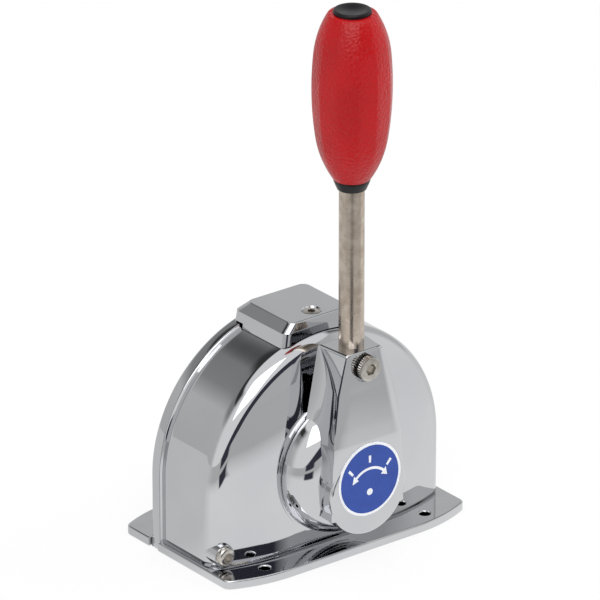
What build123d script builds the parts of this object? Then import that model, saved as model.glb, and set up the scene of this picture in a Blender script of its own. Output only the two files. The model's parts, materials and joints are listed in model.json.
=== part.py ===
"""Deck-mounted single lever control with a cable crank inside a D-shaped casting.

Millimetres. X runs along the plate, Y to the back, Z up. The origin is the centre
of the four mounting holes on the underside of the base plate. The lever stands
upright, in the middle of its travel.
"""
import os
from math import acos, cos, degrees, radians, sin, sqrt

from build123d import *

# Base plate and its mounting holes
plate_over = 2.6
plate_half_y = 46.8
plate_bow_in = 33.6
plate_bow_r = 75.0
plate_corner_r = 4.0
plate_t = 4.5
mount_x = 96.0
mount_y = 76.0
mount_hole_d = 5.3
outlet_in = 15.0
outlet_front_y = -18.0
outlet_rear_y = 8.0
outlet_corner_r = 6.0

# Housing: a D-shaped casting with a pillowed front, and its rear cover
arch_r = 69.0
arch_z = 37.4
wall = 3.0
front_y = -32.0
front_flat_x = 25.0
front_bow_r = 115.0
front_corner_r = 9.0
split_y = 14.2
cover_over = 1.0
cover_l = 6.5
cover_edge_r = 1.2
rim_fit = 0.3

# Screw columns that tie the castings to the base plate
column_r = 5.0
column_h = 17.0
column_roof = 4.0
front_column_in = 12.0
front_column_back = 6.96
rear_column_in = 19.0
rear_column_ahead = 2.2
base_screw_r = 2.0
base_screw_l = 14.0
base_screw_head_r = 4.0
base_screw_hex_af = 2.5

# Screw at the lower left corner of the front
corner_screw_in = 5.5
corner_screw_z = 11.0
corner_screw_r = 2.5
corner_head_r = 4.9
corner_head_h = 2.8
corner_head_round = 1.7
corner_hex_af = 3.0
corner_seat_ahead = 10.14
corner_seat_r = 5.4
corner_screw_depth = 4.6

# Crown block over the joint between housing and cover
block_root = 8.0
block_foot_x = 47.0
block_foot_back = 11.6
block_foot_short = 0.4
block_shoulder_x = 43.2
block_shoulder_h = 3.2
block_shoulder_in = 1.0
block_top_x = 34.5
block_top_h = 7.6
block_front_lean = 1.2
block_rear_lean = 4.7
block_corner_r = 4.0
block_edge_r = 1.0
block_slot_ahead = 2.6
block_slot_l = 5.2
block_slot_h = 1.1
block_fit = 0.1
crown_boss_l = 12.0
crown_screw_back = 8.6
crown_screw_r = 2.5
crown_screw_l = 18.0
crown_head_r = 5.0
crown_hex_af = 3.0

# Pivot: everything round it is set by the shaft
shaft_r = 7.0
running_fit = 0.05
seat_fit = 0.02
slip_gap = 0.3
bush_wall = 3.0
bush_flange_w = 3.0
bush_flange_t = 1.6
bush_boss_rim = 1.5
front_bush_l = 18.5
rear_boss_l = 5.7
rear_pocket_floor = 1.8
hub_seat_edge = 1.3
hub_seat_h = 0.5
seal_in = 3.0
seal_w = 4.0
seal_t = 1.3
seal_gap = 0.1
key_w = 5.0
key_h = 5.0
key_end_gap = 0.5
collar_w = 3.0
collar_t = 2.0

# Pieces threaded on the shaft behind its collar
hub_wall = 6.0
crank_t = 8.0
crank_radius = 22.0
crank_web_t = 6.0
crank_edge_r = 0.8
eye_wall = 4.0
spacer_wall = 5.5
drum_t = 6.0
drum_rim = 4.5
drum_web_t = 3.0
circlip_t = 1.0
circlip_w = 2.6
circlip_groove = 0.7
end_play = 0.8

# Stops that end the lever's travel
travel_deg = 80.0
stop_pin_r = 3.0
stop_pin_l = 23.0
stop_pin_seat = 2.0
stop_gap = 0.38

# Wire anchor that swivels in the crank's eye
anchor_pin_r = 4.0
anchor_head_r = 6.0
anchor_clear = 0.6
wire_r = 1.3
anchor_clip_t = 1.0
anchor_clip_w = 2.2
anchor_screw_r = 2.0
anchor_hex_af = 2.0
anchor_hex_depth = 1.5

# Cable stop: bracket across the outlet with a hollow adjuster
bracket_w = 16.0
bracket_t = 3.0
bracket_land = 8.0
bracket_corner_r = 2.0
adjuster_r = 4.0
adjuster_bottom_z = 0.4
adjuster_top_z = 15.0
conduit_r = 2.6
conduit_depth = 9.0
lock_nut_af = 13.0
lower_nut_t = 3.9
upper_nut_t = 4.0
bracket_screw_inset = 4.0
bracket_screw_r = 2.0
bracket_screw_short = 0.5
bracket_head_r = 3.6
bracket_head_h = 2.4
bracket_hex_af = 2.5

# Friction brake: a shoe pressed on the drum by a spring and an adjusting screw.
# The drum and with it the pivot take up the height that the brake and the cable stop leave.
brake_l = 33.4
drum_clear = 1.5
guide_wall = 1.8
guide_bore_r = 5.0
guide_fit = 0.08
shoe_gap = 0.3
shoe_half_x = 9.0
shoe_t = 5.7
shoe_skirt = 2.3
shoe_lift = 1.0
shoe_stem_l = 6.5
spring_bore_r = 2.6
spring_disc_t = 0.7
spring_disc_cone = 0.6
spring_discs = 8
adjust_screw_l = 9.0
adjust_screw_drop = 0.6
adjust_hex_af = 5.0

# Lever arm: hub dome, lower disc and tapering arm
arm_l = 64.4
dome_clear = 4.5
dome_rim_t = 1.2
dome_h = 14.2
dome_top_in = 13.0
dome_bulge_in = 3.4
dome_bulge_h = 7.6
disc_drop = 5.8
disc_r = 22.3
disc_h = 23.2
disc_wall = 10.0
disc_edge_r = 1.8
pad_rim = 1.0
label_rise = 0.2
label_r = 18.4
label_t = 1.0
label_proud = 0.2
hub_pocket_r = 11.0
hub_grip_l = 14.8
hub_nip = 0.4
hub_washer_r = 9.5
hub_washer_t = 1.6
hub_bolt_r = 4.0
hub_bolt_l = 22.0
hub_bolt_end = 1.0
hub_bolt_head_r = 6.5
hub_bolt_head_h = 5.0
hub_bolt_hex_af = 5.0
lever_keyway_end = 1.0
lever_key_l = 10.0

# Rod and the screw that holds it
rod_ahead = 9.2
rod_r = 6.0
rod_l = 181.8
rod_socket_l = 27.4
rod_chamfer = 0.5
clamp_drop = 7.9
clamp_seat_h = 16.8
clamp_seat_r = 8.0
clamp_head_r = 6.5
clamp_head_h = 8.0
clamp_head_round = 0.8
clamp_hex_af = 6.0
clamp_shank_r = 4.0
clamp_shank_l = 14.6
clamp_knurls = 28
knurl_w = 0.5
knurl_start = 1.2
knurl_l = 5.4

# Grip with its collar, cap and hidden bolt
grip_l = 81.6
grip_foot_r = 8.8
grip_flare_r = 13.5
grip_flare_at = 0.105
grip_waist_r = 17.3
grip_waist_at = 0.267
grip_shoulder_r = 18.3
grip_shoulder_at = 0.75
grip_head_r = 11.9
grip_head_edge = 1.0
grip_floor_gap = 0.2
grip_pocket_r = 8.0
grip_pocket_l = 11.0
grip_rim_w = 0.4
grip_washer_r = 7.6
grip_washer_t = 1.5
grip_bolt_r = 3.0
grip_bolt_l = 18.0
grip_bolt_head_r = 5.0
grip_bolt_head_h = 4.0
grip_bolt_hex_af = 5.0
collar_l = 5.2
collar_foot_r = 6.9
collar_head_r = 8.7
cap_r = 8.9
cap_t = 1.8
cap_rim_w = 1.7
cap_dish = 1.0
cap_stem_l = 3.0

# Sockets of the screws, as shares of the head's height
cap_head_socket = 0.6
flat_head_socket = 0.8

# Worked out from the sizes above: castings
plate_half_x = arch_r + plate_over
plate_straight_x = plate_half_x - plate_bow_in
cover_r = arch_r + cover_over
cover_rear_y = split_y + cover_l
cover_inner_y = cover_rear_y - wall
crown_z = arch_z + arch_r
corner_centre_x = arch_r - front_corner_r
corner_reach = front_bow_r - front_corner_r
corner_centre_y = front_y + front_bow_r - sqrt(corner_reach**2 - (corner_centre_x - front_flat_x) ** 2)
front_column_x = arch_r - front_column_in
bow_at_column = front_bow_r - sqrt(front_bow_r**2 - (front_column_x - front_flat_x) ** 2)
front_column_y = front_y + bow_at_column + front_column_back
outlet_half_x = front_column_x - outlet_in
rear_column_x = arch_r - rear_column_in
rear_column_y = split_y - rear_column_ahead
corner_screw_x = corner_screw_in - arch_r
corner_seat_y = corner_centre_y - corner_seat_ahead
block_foot_front_y = front_y + block_foot_back
block_foot_rear_y = cover_rear_y - block_foot_short
block_top_z = crown_z + block_top_h
crown_screw_y = block_foot_front_y + crown_screw_back

# Worked out: height of the pivot over the cable stop
cable_stop_top_z = plate_t + bracket_t + upper_nut_t
drum_r = (crown_z - brake_l - cable_stop_top_z - drum_clear) / 2
pivot_z = cable_stop_top_z + drum_clear + drum_r

# Worked out: pivot and what runs on it, from front to back
dome_r = pivot_z - plate_t - dome_clear
dome_top_r = dome_r - dome_top_in
bush_r = shaft_r + bush_wall
bush_flange_r = bush_r + bush_flange_w
bush_boss_r = bush_flange_r + bush_boss_rim
hub_seat_r = dome_r + hub_seat_edge
hub_seat_y = front_y - hub_seat_h
lever_back_y = hub_seat_y - slip_gap
seal_outer_r = dome_r - seal_in
seal_inner_r = seal_outer_r - seal_w
front_bush_rear_y = hub_seat_y + front_bush_l
shaft_collar_y = front_bush_rear_y + slip_gap
collar_r = shaft_r + collar_w
crank_front_y = shaft_collar_y + collar_t
crank_rear_y = crank_front_y + crank_t
web_rear_y = crank_front_y + crank_web_t
rear_bush_front_y = cover_inner_y - rear_boss_l
rear_pocket_y = cover_rear_y - rear_pocket_floor
circlip_y = rear_bush_front_y - end_play - circlip_t
circlip_r = shaft_r + circlip_w
drum_front_y = circlip_y - drum_t
shaft_rear_y = rear_pocket_y - slip_gap
hub_r = shaft_r + hub_wall
spacer_r = shaft_r + spacer_wall
eye_r = anchor_pin_r + eye_wall
anchor_front_y = web_rear_y + slip_gap
anchor_rear_y = drum_front_y - anchor_clear
anchor_clip_r = anchor_pin_r + anchor_clip_w
wire_y = (anchor_front_y + anchor_rear_y) / 2

# Worked out: the crank's flank meets a stop pin this many degrees past the crank's middle line
flank_turn = acos((hub_r - eye_r) / crank_radius)
stop_turn = travel_deg + degrees(flank_turn - acos((hub_r + stop_pin_r + stop_gap) / crank_radius))

# Worked out: cable stop and friction brake
bracket_front_y = outlet_front_y - bracket_land
bracket_rear_y = outlet_rear_y + bracket_land
guide_y = drum_front_y + drum_t / 2
guide_r = guide_bore_r + guide_wall
shoe_bottom_z = pivot_z + drum_r - shoe_skirt + shoe_gap
shoe_top_z = pivot_z + drum_r + shoe_gap + shoe_t
shoe_stem_top_z = shoe_top_z + shoe_stem_l
guide_bottom_z = shoe_top_z + shoe_lift
adjust_top_z = crown_z - adjust_screw_drop
adjust_bottom_z = adjust_top_z - adjust_screw_l

# Worked out: lever, rod and grip
arm_top_z = pivot_z + arm_l
disc_z = pivot_z - disc_drop
disc_front_y = lever_back_y - disc_h
disc_back_y = disc_front_y + disc_wall
dome_top_y = lever_back_y - dome_h
label_z = pivot_z + label_rise
label_floor_y = disc_front_y + label_t - label_proud
pad_r = label_r + pad_rim
hub_floor_y = lever_back_y - hub_grip_l
shaft_front_y = hub_floor_y + hub_nip
rod_y = lever_back_y - rod_ahead
rod_bottom_z = arm_top_z - rod_socket_l
rod_top_z = rod_bottom_z + rod_l
clamp_z = arm_top_z - clamp_drop
clamp_seat_y = lever_back_y - clamp_seat_h
grip_floor_z = rod_top_z + grip_floor_gap
grip_top_z = grip_floor_z + grip_pocket_l
grip_bottom_z = grip_top_z - grip_l
collar_bottom_z = grip_bottom_z - collar_l
pivot_axis = Axis((0, 0, pivot_z), (0, 1, 0))
rod_axis = Axis((0, rod_y, 0), (0, 0, 1))


def facing(y):
    """Plane at this depth that looks to the front, with local X and Y along X and Z."""
    return Plane.XZ.offset(-y)


def export(builder, label):
    """Label a finished sub-part and write it as its own STEP file."""
    builder.part.label = label
    export_step(builder.part, f"parts/{label}.step")


def front_outline(inset):
    """Half outline of the housing in plan, from its middle to its side, moved in by a wall."""
    flat = Line((0, front_y + inset), (front_flat_x, front_y + inset))
    lean = (corner_centre_x - front_flat_x) / corner_reach
    bow = front_bow_r - inset
    bow_end = (front_flat_x + bow * lean, front_y + front_bow_r - bow * sqrt(1 - lean**2))
    curve = TangentArc(flat @ 1, bow_end, tangent=flat % 1)
    corner = TangentArc(curve @ 1, (arch_r - inset, corner_centre_y), tangent=curve % 1)
    side = Line(corner @ 1, (arch_r - inset, split_y))
    back = Line(side @ 1, (0, split_y))
    Line(back @ 1, flat @ 0)


def ring(plane, outer_r, inner_r, length, centre=(0, 0)):
    """A plain sleeve that grows from the plane along its normal."""
    with BuildPart() as sleeve:
        with BuildSketch(plane):
            with Locations(centre):
                Circle(outer_r)
                Circle(inner_r, mode=Mode.SUBTRACT)
        extrude(amount=length)
    return sleeve


def socket_screw(plane, shank_r, shank_l, head_r, head_h, hex_af, round_top=0.0):
    """A cylinder head screw: the head grows along the plane's normal, the shank goes the other way."""
    with BuildPart() as screw:
        with BuildSketch(plane):
            Circle(head_r)
        extrude(amount=head_h)
        if round_top:
            top_edge = screw.faces().sort_by(Axis(plane.origin, plane.z_dir))[-1].edges()
            fillet(top_edge, radius=round_top)
        with BuildSketch(plane):
            Circle(shank_r)
        extrude(amount=-shank_l)
        with BuildSketch(plane.offset(head_h)):
            RegularPolygon(hex_af / 2, 6, major_radius=False)
        extrude(amount=-head_h * cap_head_socket, mode=Mode.SUBTRACT)
    return screw


def countersunk_screw(plane, shank_r, length, head_r, hex_af):
    """A countersunk screw whose flat top lies in the plane and whose shank goes against its normal."""
    with BuildPart() as screw:
        with BuildSketch(plane):
            Circle(shank_r)
        extrude(amount=-length)
        with BuildSketch(plane):
            Circle(head_r)
        with BuildSketch(plane.offset(shank_r - head_r)):
            Circle(shank_r)
        loft()
        with BuildSketch(plane):
            RegularPolygon(hex_af / 2, 6, major_radius=False)
        extrude(amount=-(head_r - shank_r) * flat_head_socket, mode=Mode.SUBTRACT)
    return screw


os.makedirs("parts", exist_ok=True)

# Base plate: bowed front and back, four mounting holes, cable outlet, notches for the cover
base_screw_spots = [
    (-front_column_x, front_column_y),
    (front_column_x, front_column_y),
    (-rear_column_x, rear_column_y),
    (rear_column_x, rear_column_y),
]
bracket_x = crank_radius
bracket_screw_spots = [
    (bracket_x, bracket_front_y + bracket_screw_inset),
    (bracket_x, bracket_rear_y - bracket_screw_inset),
]
with BuildPart() as base_plate:
    with BuildSketch() as plate_outline:
        with BuildLine():
            bow_drop = plate_bow_r - sqrt(plate_bow_r**2 - (plate_half_x - plate_straight_x) ** 2)
            corner_y = plate_half_y - bow_drop
            front = Line((-plate_straight_x, -plate_half_y), (plate_straight_x, -plate_half_y))
            bow = TangentArc(front @ 1, (plate_half_x, -corner_y), tangent=front % 1)
            side = Line(bow @ 1, (plate_half_x, 0))
            mirror(about=Plane.YZ)
            mirror(about=Plane.XZ)
        make_face()
        ends = plate_outline.vertices().group_by(Axis.X)
        fillet([v for v in ends[0] + ends[-1] if abs(v.Y) > corner_y / 2], radius=plate_corner_r)
        with Locations((0, (outlet_front_y + outlet_rear_y) / 2)):
            RectangleRounded(
                2 * outlet_half_x, outlet_rear_y - outlet_front_y, outlet_corner_r, mode=Mode.SUBTRACT
            )
        notch_x = cover_r - wall - rim_fit
        rim_y = (split_y + cover_rear_y) / 2
        with Locations((-plate_half_x, rim_y), (plate_half_x, rim_y)):
            Rectangle(2 * (plate_half_x - notch_x), cover_l + 2 * rim_fit, mode=Mode.SUBTRACT)
    extrude(amount=plate_t)
    with Locations((0, 0, plate_t)):
        with GridLocations(mount_x, mount_y, 2, 2):
            Hole(mount_hole_d / 2)
    with Locations(Plane.XY.rotated((180, 0, 0))):
        with Locations([(x, -y) for x, y in base_screw_spots]):
            CounterSinkHole(base_screw_r + seat_fit, base_screw_head_r + seat_fit, counter_sink_angle=90)
    with Locations([(x, y, plate_t) for x, y in bracket_screw_spots]):
        Hole(bracket_screw_r + seat_fit)
export(base_plate, "base_plate")

# Housing: one wall section turned over the arch and carried down both legs
with BuildSketch(Plane.XY.offset(arch_z)) as wall_section:
    with BuildLine():
        front_outline(0)
    make_face()
    with BuildLine():
        front_outline(wall)
    make_face(mode=Mode.SUBTRACT)

with BuildPart() as housing_shell:
    revolve(wall_section.sketch, axis=Axis((0, 0, arch_z), (0, -1, 0)), revolution_arc=180)
    extrude(wall_section.sketch, amount=arch_z - plate_t, dir=(0, 0, -1))
    other_leg = mirror(wall_section.sketch, about=Plane.YZ, mode=Mode.PRIVATE)
    extrude(other_leg, amount=arch_z - plate_t, dir=(0, 0, -1))
    # Round seat for the hub and the long boss of the front bush
    with BuildSketch(facing(front_y + wall / 2)):
        with Locations((0, pivot_z)):
            Circle(hub_seat_r)
    extrude(amount=front_y + wall / 2 - hub_seat_y)
    with BuildSketch(facing(front_bush_rear_y - bush_flange_t)):
        with Locations((0, pivot_z)):
            Circle(bush_boss_r)
    extrude(amount=front_bush_rear_y - bush_flange_t - front_y)
    # Columns for the base screws, at the front corners
    with BuildSketch(Plane.XY.offset(plate_t)):
        with Locations((-front_column_x, front_column_y), (front_column_x, front_column_y)):
            Circle(column_r)
    extrude(amount=column_h)
    # Tube and seat for the corner screw
    with BuildSketch(facing(split_y)):
        with Locations((corner_screw_x, corner_screw_z)):
            Circle(corner_seat_r)
    extrude(amount=split_y - corner_seat_y)
    # Guide of the friction shoe and boss of the crown screw, cut to the arch outside
    with BuildSketch(Plane.XY.offset(guide_bottom_z)):
        with Locations((0, guide_y)):
            Circle(guide_r)
    extrude(amount=crown_z - guide_bottom_z - wall / 2)
    with BuildSketch(Plane.XY.offset(crown_z - crown_boss_l)):
        with Locations((0, crown_screw_y)):
            Circle(column_r)
    extrude(amount=crown_boss_l - wall / 2)
    # Bores
    with Locations(facing(hub_seat_y)):
        with Locations((0, pivot_z)):
            Hole(bush_r + seat_fit, depth=front_bush_rear_y - hub_seat_y)
            Hole(bush_flange_r + seat_fit, depth=bush_flange_t)
    with BuildSketch(facing(hub_seat_y)):
        with Locations((0, pivot_z)):
            Circle(seal_outer_r + seat_fit)
            Circle(seal_inner_r - seat_fit, mode=Mode.SUBTRACT)
    extrude(amount=-(seal_t - slip_gap + seal_gap), mode=Mode.SUBTRACT)
    with Locations(facing(corner_seat_y)):
        with Locations((corner_screw_x, corner_screw_z)):
            Hole(corner_screw_r + seat_fit, depth=split_y - corner_seat_y)
    with Locations((0, guide_y, crown_z)):
        Hole(guide_bore_r, depth=crown_z - guide_bottom_z)
    with Locations((0, crown_screw_y, crown_z)):
        Hole(crown_screw_r + seat_fit, depth=crown_boss_l)
    with Locations(Plane.XY.offset(plate_t).rotated((180, 0, 0))):
        with Locations((-front_column_x, -front_column_y), (front_column_x, -front_column_y)):
            Hole(base_screw_r + seat_fit, depth=column_h - column_roof)
    # Seats of the two stop pins: half of each cutter lies in the front wall
    stop_spots = [
        (crank_radius * cos(radians(turn)), pivot_z + crank_radius * sin(radians(turn)))
        for turn in (stop_turn, -stop_turn)
    ]
    with Locations(facing(front_y + wall)):
        with Locations(stop_spots):
            Cylinder(stop_pin_r + seat_fit, stop_pin_seat * 2, mode=Mode.SUBTRACT)
export(housing_shell, "housing_shell")

# Rear cover: back wall, rim and bush boss, with legs that reach down through the plate's notches
with BuildPart() as rear_cover:
    with BuildSketch(facing(cover_rear_y)):
        with Locations((0, arch_z)):
            Circle(cover_r)
        with Locations((0, (arch_z + plate_t) / 2)):
            Rectangle(2 * cover_r, arch_z - plate_t)
        with Locations((0, plate_t - cover_r)):
            Rectangle(2 * cover_r, 2 * cover_r, mode=Mode.SUBTRACT)
    extrude(amount=cover_rear_y - split_y)
    with BuildSketch(facing(cover_inner_y)):
        with Locations((0, arch_z)):
            Circle(cover_r - wall)
        with Locations((0, arch_z / 2)):
            Rectangle(2 * (cover_r - wall), arch_z)
    extrude(amount=cover_inner_y - split_y, mode=Mode.SUBTRACT)
    back_edges = rear_cover.faces().sort_by(Axis.Y)[-1].edges()
    fillet([e for e in back_edges if e.center().Z > plate_t + wall], radius=cover_edge_r)
    with BuildSketch(Plane.XY.offset(plate_t)):
        leg_x = cover_r - wall / 2
        with Locations((-leg_x, rim_y), (leg_x, rim_y)):
            Rectangle(wall, cover_l)
    extrude(amount=-plate_t)
    with BuildSketch(facing(cover_rear_y - wall / 2)):
        with Locations((0, pivot_z)):
            Circle(bush_boss_r)
    extrude(amount=cover_rear_y - wall / 2 - rear_bush_front_y - bush_flange_t)
    with BuildSketch(facing(cover_rear_y - wall / 2)):
        with Locations((corner_screw_x, corner_screw_z)):
            Circle(corner_seat_r)
    extrude(amount=cover_rear_y - wall / 2 - split_y)
    with BuildSketch(Plane.XY.offset(plate_t)):
        for side_x in (-rear_column_x, rear_column_x):
            with Locations((side_x, rear_column_y)):
                Circle(column_r)
            with Locations((side_x, (rear_column_y + cover_inner_y) / 2)):
                Rectangle(2 * column_r, cover_inner_y - rear_column_y + wall / 2)
    extrude(amount=column_h)
    with Locations(facing(rear_bush_front_y)):
        with Locations((0, pivot_z)):
            Hole(bush_r + seat_fit, depth=rear_pocket_y - rear_bush_front_y)
    with Locations(facing(split_y)):
        with Locations((corner_screw_x, corner_screw_z)):
            Hole(corner_screw_r + seat_fit, depth=corner_screw_depth + seat_fit)
    with Locations(Plane.XY.offset(plate_t).rotated((180, 0, 0))):
        with Locations((-rear_column_x, -rear_column_y), (rear_column_x, -rear_column_y)):
            Hole(base_screw_r + seat_fit, depth=column_h - column_roof)
export(rear_cover, "rear_cover")

# Crown block: three rounded rectangles lofted, then cut to the arch with a relief at the rim's step
with BuildPart() as crown_block:
    foot_y = (block_foot_front_y + block_foot_rear_y) / 2
    foot_l = block_foot_rear_y - block_foot_front_y
    top_y = foot_y + (block_front_lean - block_rear_lean) / 2
    top_l = foot_l - block_front_lean - block_rear_lean
    for z, centre_y, size_x, size_y in (
        (crown_z - block_root, foot_y, block_foot_x, foot_l),
        (crown_z + block_shoulder_h, foot_y, block_shoulder_x, foot_l - block_shoulder_in),
        (block_top_z, top_y, block_top_x, top_l),
    ):
        with BuildSketch(Plane.XY.offset(z)):
            with Locations((0, centre_y)):
                RectangleRounded(size_x, size_y, block_corner_r)
    loft(ruled=True)
    top_edges = crown_block.faces().sort_by(Axis.Z)[-1].edges()
    fillet(top_edges, radius=block_edge_r)
    with BuildSketch(facing(split_y - block_fit)):
        with Locations((0, arch_z)):
            Circle(arch_r + block_fit)
    extrude(amount=split_y - block_foot_front_y, mode=Mode.SUBTRACT)
    with BuildSketch(facing(block_foot_rear_y + wall)):
        with Locations((0, arch_z)):
            Circle(cover_r + block_fit)
    extrude(amount=block_foot_rear_y + wall - split_y + block_fit, mode=Mode.SUBTRACT)
    with BuildSketch(facing(split_y - block_slot_ahead + block_slot_l)):
        with Locations((0, arch_z)):
            Circle(cover_r + block_slot_h)
    extrude(amount=block_slot_l, mode=Mode.SUBTRACT)
    with Locations((0, crown_screw_y, block_top_z)):
        CounterSinkHole(crown_screw_r + seat_fit, crown_head_r + seat_fit, counter_sink_angle=90)
export(crown_block, "crown_block")

with BuildPart() as crown_screw:
    block_top = Plane((0, crown_screw_y, block_top_z))
    add(countersunk_screw(block_top, crown_screw_r, crown_screw_l, crown_head_r, crown_hex_af).part)
export(crown_screw, "crown_screw")

with BuildPart() as corner_screw:
    seat = Plane((corner_screw_x, corner_seat_y, corner_screw_z), x_dir=(1, 0, 0), z_dir=(0, -1, 0))
    shank = split_y - corner_seat_y + corner_screw_depth
    add(
        socket_screw(
            seat, corner_screw_r, shank, corner_head_r, corner_head_h, corner_hex_af, corner_head_round
        ).part
    )
export(corner_screw, "corner_screw")

with BuildPart() as base_screws:
    for x, y in base_screw_spots:
        under = Plane((x, y, 0), x_dir=(1, 0, 0), z_dir=(0, 0, -1))
        add(countersunk_screw(under, base_screw_r, base_screw_l, base_screw_head_r, base_screw_hex_af).part)
export(base_screws, "base_screws")


def flanged_bush(start_y, end_y):
    """A bush for the shaft with its flange at the front end."""
    with BuildPart() as bush:
        add(ring(facing(start_y), bush_r, shaft_r + running_fit, start_y - end_y, (0, pivot_z)).part)
        add(ring(facing(start_y), bush_flange_r, shaft_r + running_fit, -bush_flange_t, (0, pivot_z)).part)
    return bush


# Flanged bushes that carry the shaft
with BuildPart() as front_bush:
    add(flanged_bush(hub_seat_y, front_bush_rear_y).part)
export(front_bush, "front_bush")

with BuildPart() as rear_bush:
    add(flanged_bush(rear_bush_front_y, rear_pocket_y - seat_fit).part)
export(rear_bush, "rear_bush")

with BuildPart() as hub_seal:
    add(ring(facing(lever_back_y + seal_gap), seal_outer_r, seal_inner_r, -seal_t, (0, pivot_z)).part)
export(hub_seal, "hub_seal")

with BuildPart() as stop_pins:
    with BuildSketch(facing(front_y + wall - stop_pin_seat + seat_fit)):
        with Locations(stop_spots):
            Circle(stop_pin_r)
    extrude(amount=-(stop_pin_l + stop_pin_seat - seat_fit))
export(stop_pins, "stop_pins")

# Friction shoe with its stem, the spring above it and the adjusting screw under the crown block
with BuildPart() as friction_shoe:
    with BuildSketch(facing(circlip_y)):
        with Locations((0, (shoe_bottom_z + shoe_top_z) / 2)):
            Rectangle(2 * shoe_half_x, shoe_top_z - shoe_bottom_z)
        with Locations((0, pivot_z)):
            Circle(drum_r + shoe_gap, mode=Mode.SUBTRACT)
    extrude(amount=drum_t)
    with BuildSketch(Plane.XY.offset(shoe_top_z - shoe_t / 2)):
        with Locations((0, guide_y)):
            Circle(guide_bore_r - guide_fit)
    extrude(amount=shoe_stem_l + shoe_t / 2)
export(friction_shoe, "friction_shoe")

# Disc springs: shallow cones stacked in turn up and down, edge to edge
spring_disc_h = (adjust_bottom_z - shoe_stem_top_z - 2 * seat_fit) / spring_discs
spring_rim_r = guide_bore_r - guide_fit
with BuildPart() as friction_spring:
    for number in range(spring_discs):
        bottom_z = shoe_stem_top_z + seat_fit + number * spring_disc_h
        rim_rise = spring_disc_cone * (number % 2)
        bore_rise = spring_disc_cone - rim_rise
        with BuildSketch(Plane((0, guide_y, bottom_z), x_dir=(1, 0, 0), z_dir=(0, -1, 0))):
            with BuildLine():
                Polyline(
                    (spring_bore_r, bore_rise),
                    (spring_rim_r, rim_rise),
                    (spring_rim_r, rim_rise + spring_disc_t),
                    (spring_bore_r, bore_rise + spring_disc_t),
                    close=True,
                )
            make_face()
        revolve(axis=Axis((0, guide_y, 0), (0, 0, 1)))
export(friction_spring, "friction_spring")

with BuildPart() as friction_screw:
    with BuildSketch(Plane.XY.offset(adjust_bottom_z)):
        with Locations((0, guide_y)):
            Circle(guide_bore_r - guide_fit)
    extrude(amount=adjust_screw_l)
    with BuildSketch(Plane.XY.offset(adjust_top_z)):
        with Locations((0, guide_y)):
            RegularPolygon(adjust_hex_af / 2, 6, major_radius=False)
    extrude(amount=-adjust_screw_l / 2, mode=Mode.SUBTRACT)
export(friction_screw, "friction_screw")

# Shaft with its collar, two keyways and the groove of the circlip
lever_keyway_y = lever_back_y - lever_keyway_end
with BuildPart() as pivot_shaft:
    with BuildSketch(facing(shaft_rear_y)):
        with Locations((0, pivot_z)):
            Circle(shaft_r)
    extrude(amount=shaft_rear_y - shaft_front_y)
    with BuildSketch(facing(shaft_collar_y + collar_t)):
        with Locations((0, pivot_z)):
            Circle(collar_r)
    extrude(amount=collar_t)
    with BuildSketch(facing(circlip_y + circlip_t)):
        with Locations((0, pivot_z)):
            Circle(circlip_r)
            Circle(shaft_r - circlip_groove, mode=Mode.SUBTRACT)
    extrude(amount=circlip_t, mode=Mode.SUBTRACT)
    for start_y, end_y in ((shaft_front_y, lever_keyway_y), (crank_front_y, circlip_y)):
        with BuildSketch(facing(end_y)):
            with Locations((0, pivot_z + shaft_r)):
                Rectangle(key_w, key_h)
        extrude(amount=end_y - start_y, mode=Mode.SUBTRACT)
    with Locations(facing(shaft_front_y)):
        with Locations((0, pivot_z)):
            Hole(hub_bolt_r + seat_fit, depth=hub_bolt_l)
export(pivot_shaft, "pivot_shaft")


def key_between(start_y, end_y):
    """A square key that lies in the top of the shaft."""
    with BuildPart() as key:
        with BuildSketch(facing(end_y)):
            with Locations((0, pivot_z + shaft_r)):
                Rectangle(key_w - 2 * seat_fit, key_h - 2 * seat_fit)
        extrude(amount=end_y - start_y)
    return key


def keyed_bore(y, depth):
    """Cut the shaft's bore and its keyway from the plane at y towards the back."""
    with BuildSketch(facing(y)) as bore:
        with Locations((0, pivot_z)):
            Circle(shaft_r + seat_fit)
        with Locations((0, pivot_z + shaft_r)):
            Rectangle(key_w + 2 * seat_fit, key_h + 2 * seat_fit)
    extrude(bore.sketch, amount=-depth, mode=Mode.SUBTRACT)


with BuildPart() as lever_key:
    add(key_between(lever_keyway_y - key_end_gap - lever_key_l, lever_keyway_y - key_end_gap).part)
export(lever_key, "lever_key")

with BuildPart() as crank_key:
    add(key_between(crank_front_y + key_end_gap, circlip_y - key_end_gap).part)
export(crank_key, "crank_key")

# Crank: a hub with a thinner web that ends in the anchor's eye
with BuildPart() as crank_arm:
    with BuildSketch(facing(web_rear_y)):
        with Locations((0, pivot_z)):
            Circle(hub_r)
        with Locations((crank_radius, pivot_z)):
            Circle(eye_r)
        make_hull()
    extrude(amount=crank_web_t)
    with BuildSketch(facing(crank_rear_y)):
        with Locations((0, pivot_z)):
            Circle(hub_r)
    extrude(amount=crank_t)
    fillet(crank_arm.edges().filter_by(GeomType.CIRCLE).group_by(Axis.Y)[-1], radius=crank_edge_r)
    keyed_bore(crank_front_y, crank_t)
    with Locations(facing(crank_front_y)):
        with Locations((crank_radius, pivot_z)):
            Hole(anchor_pin_r + running_fit, depth=crank_t)
export(crank_arm, "crank_arm")

with BuildPart() as spacer_sleeve:
    spacer_l = drum_front_y - crank_rear_y
    with BuildSketch(facing(crank_rear_y)):
        with Locations((0, pivot_z)):
            Circle(spacer_r)
    extrude(amount=-spacer_l)
    keyed_bore(crank_rear_y, spacer_l)
export(spacer_sleeve, "spacer_sleeve")

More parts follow.
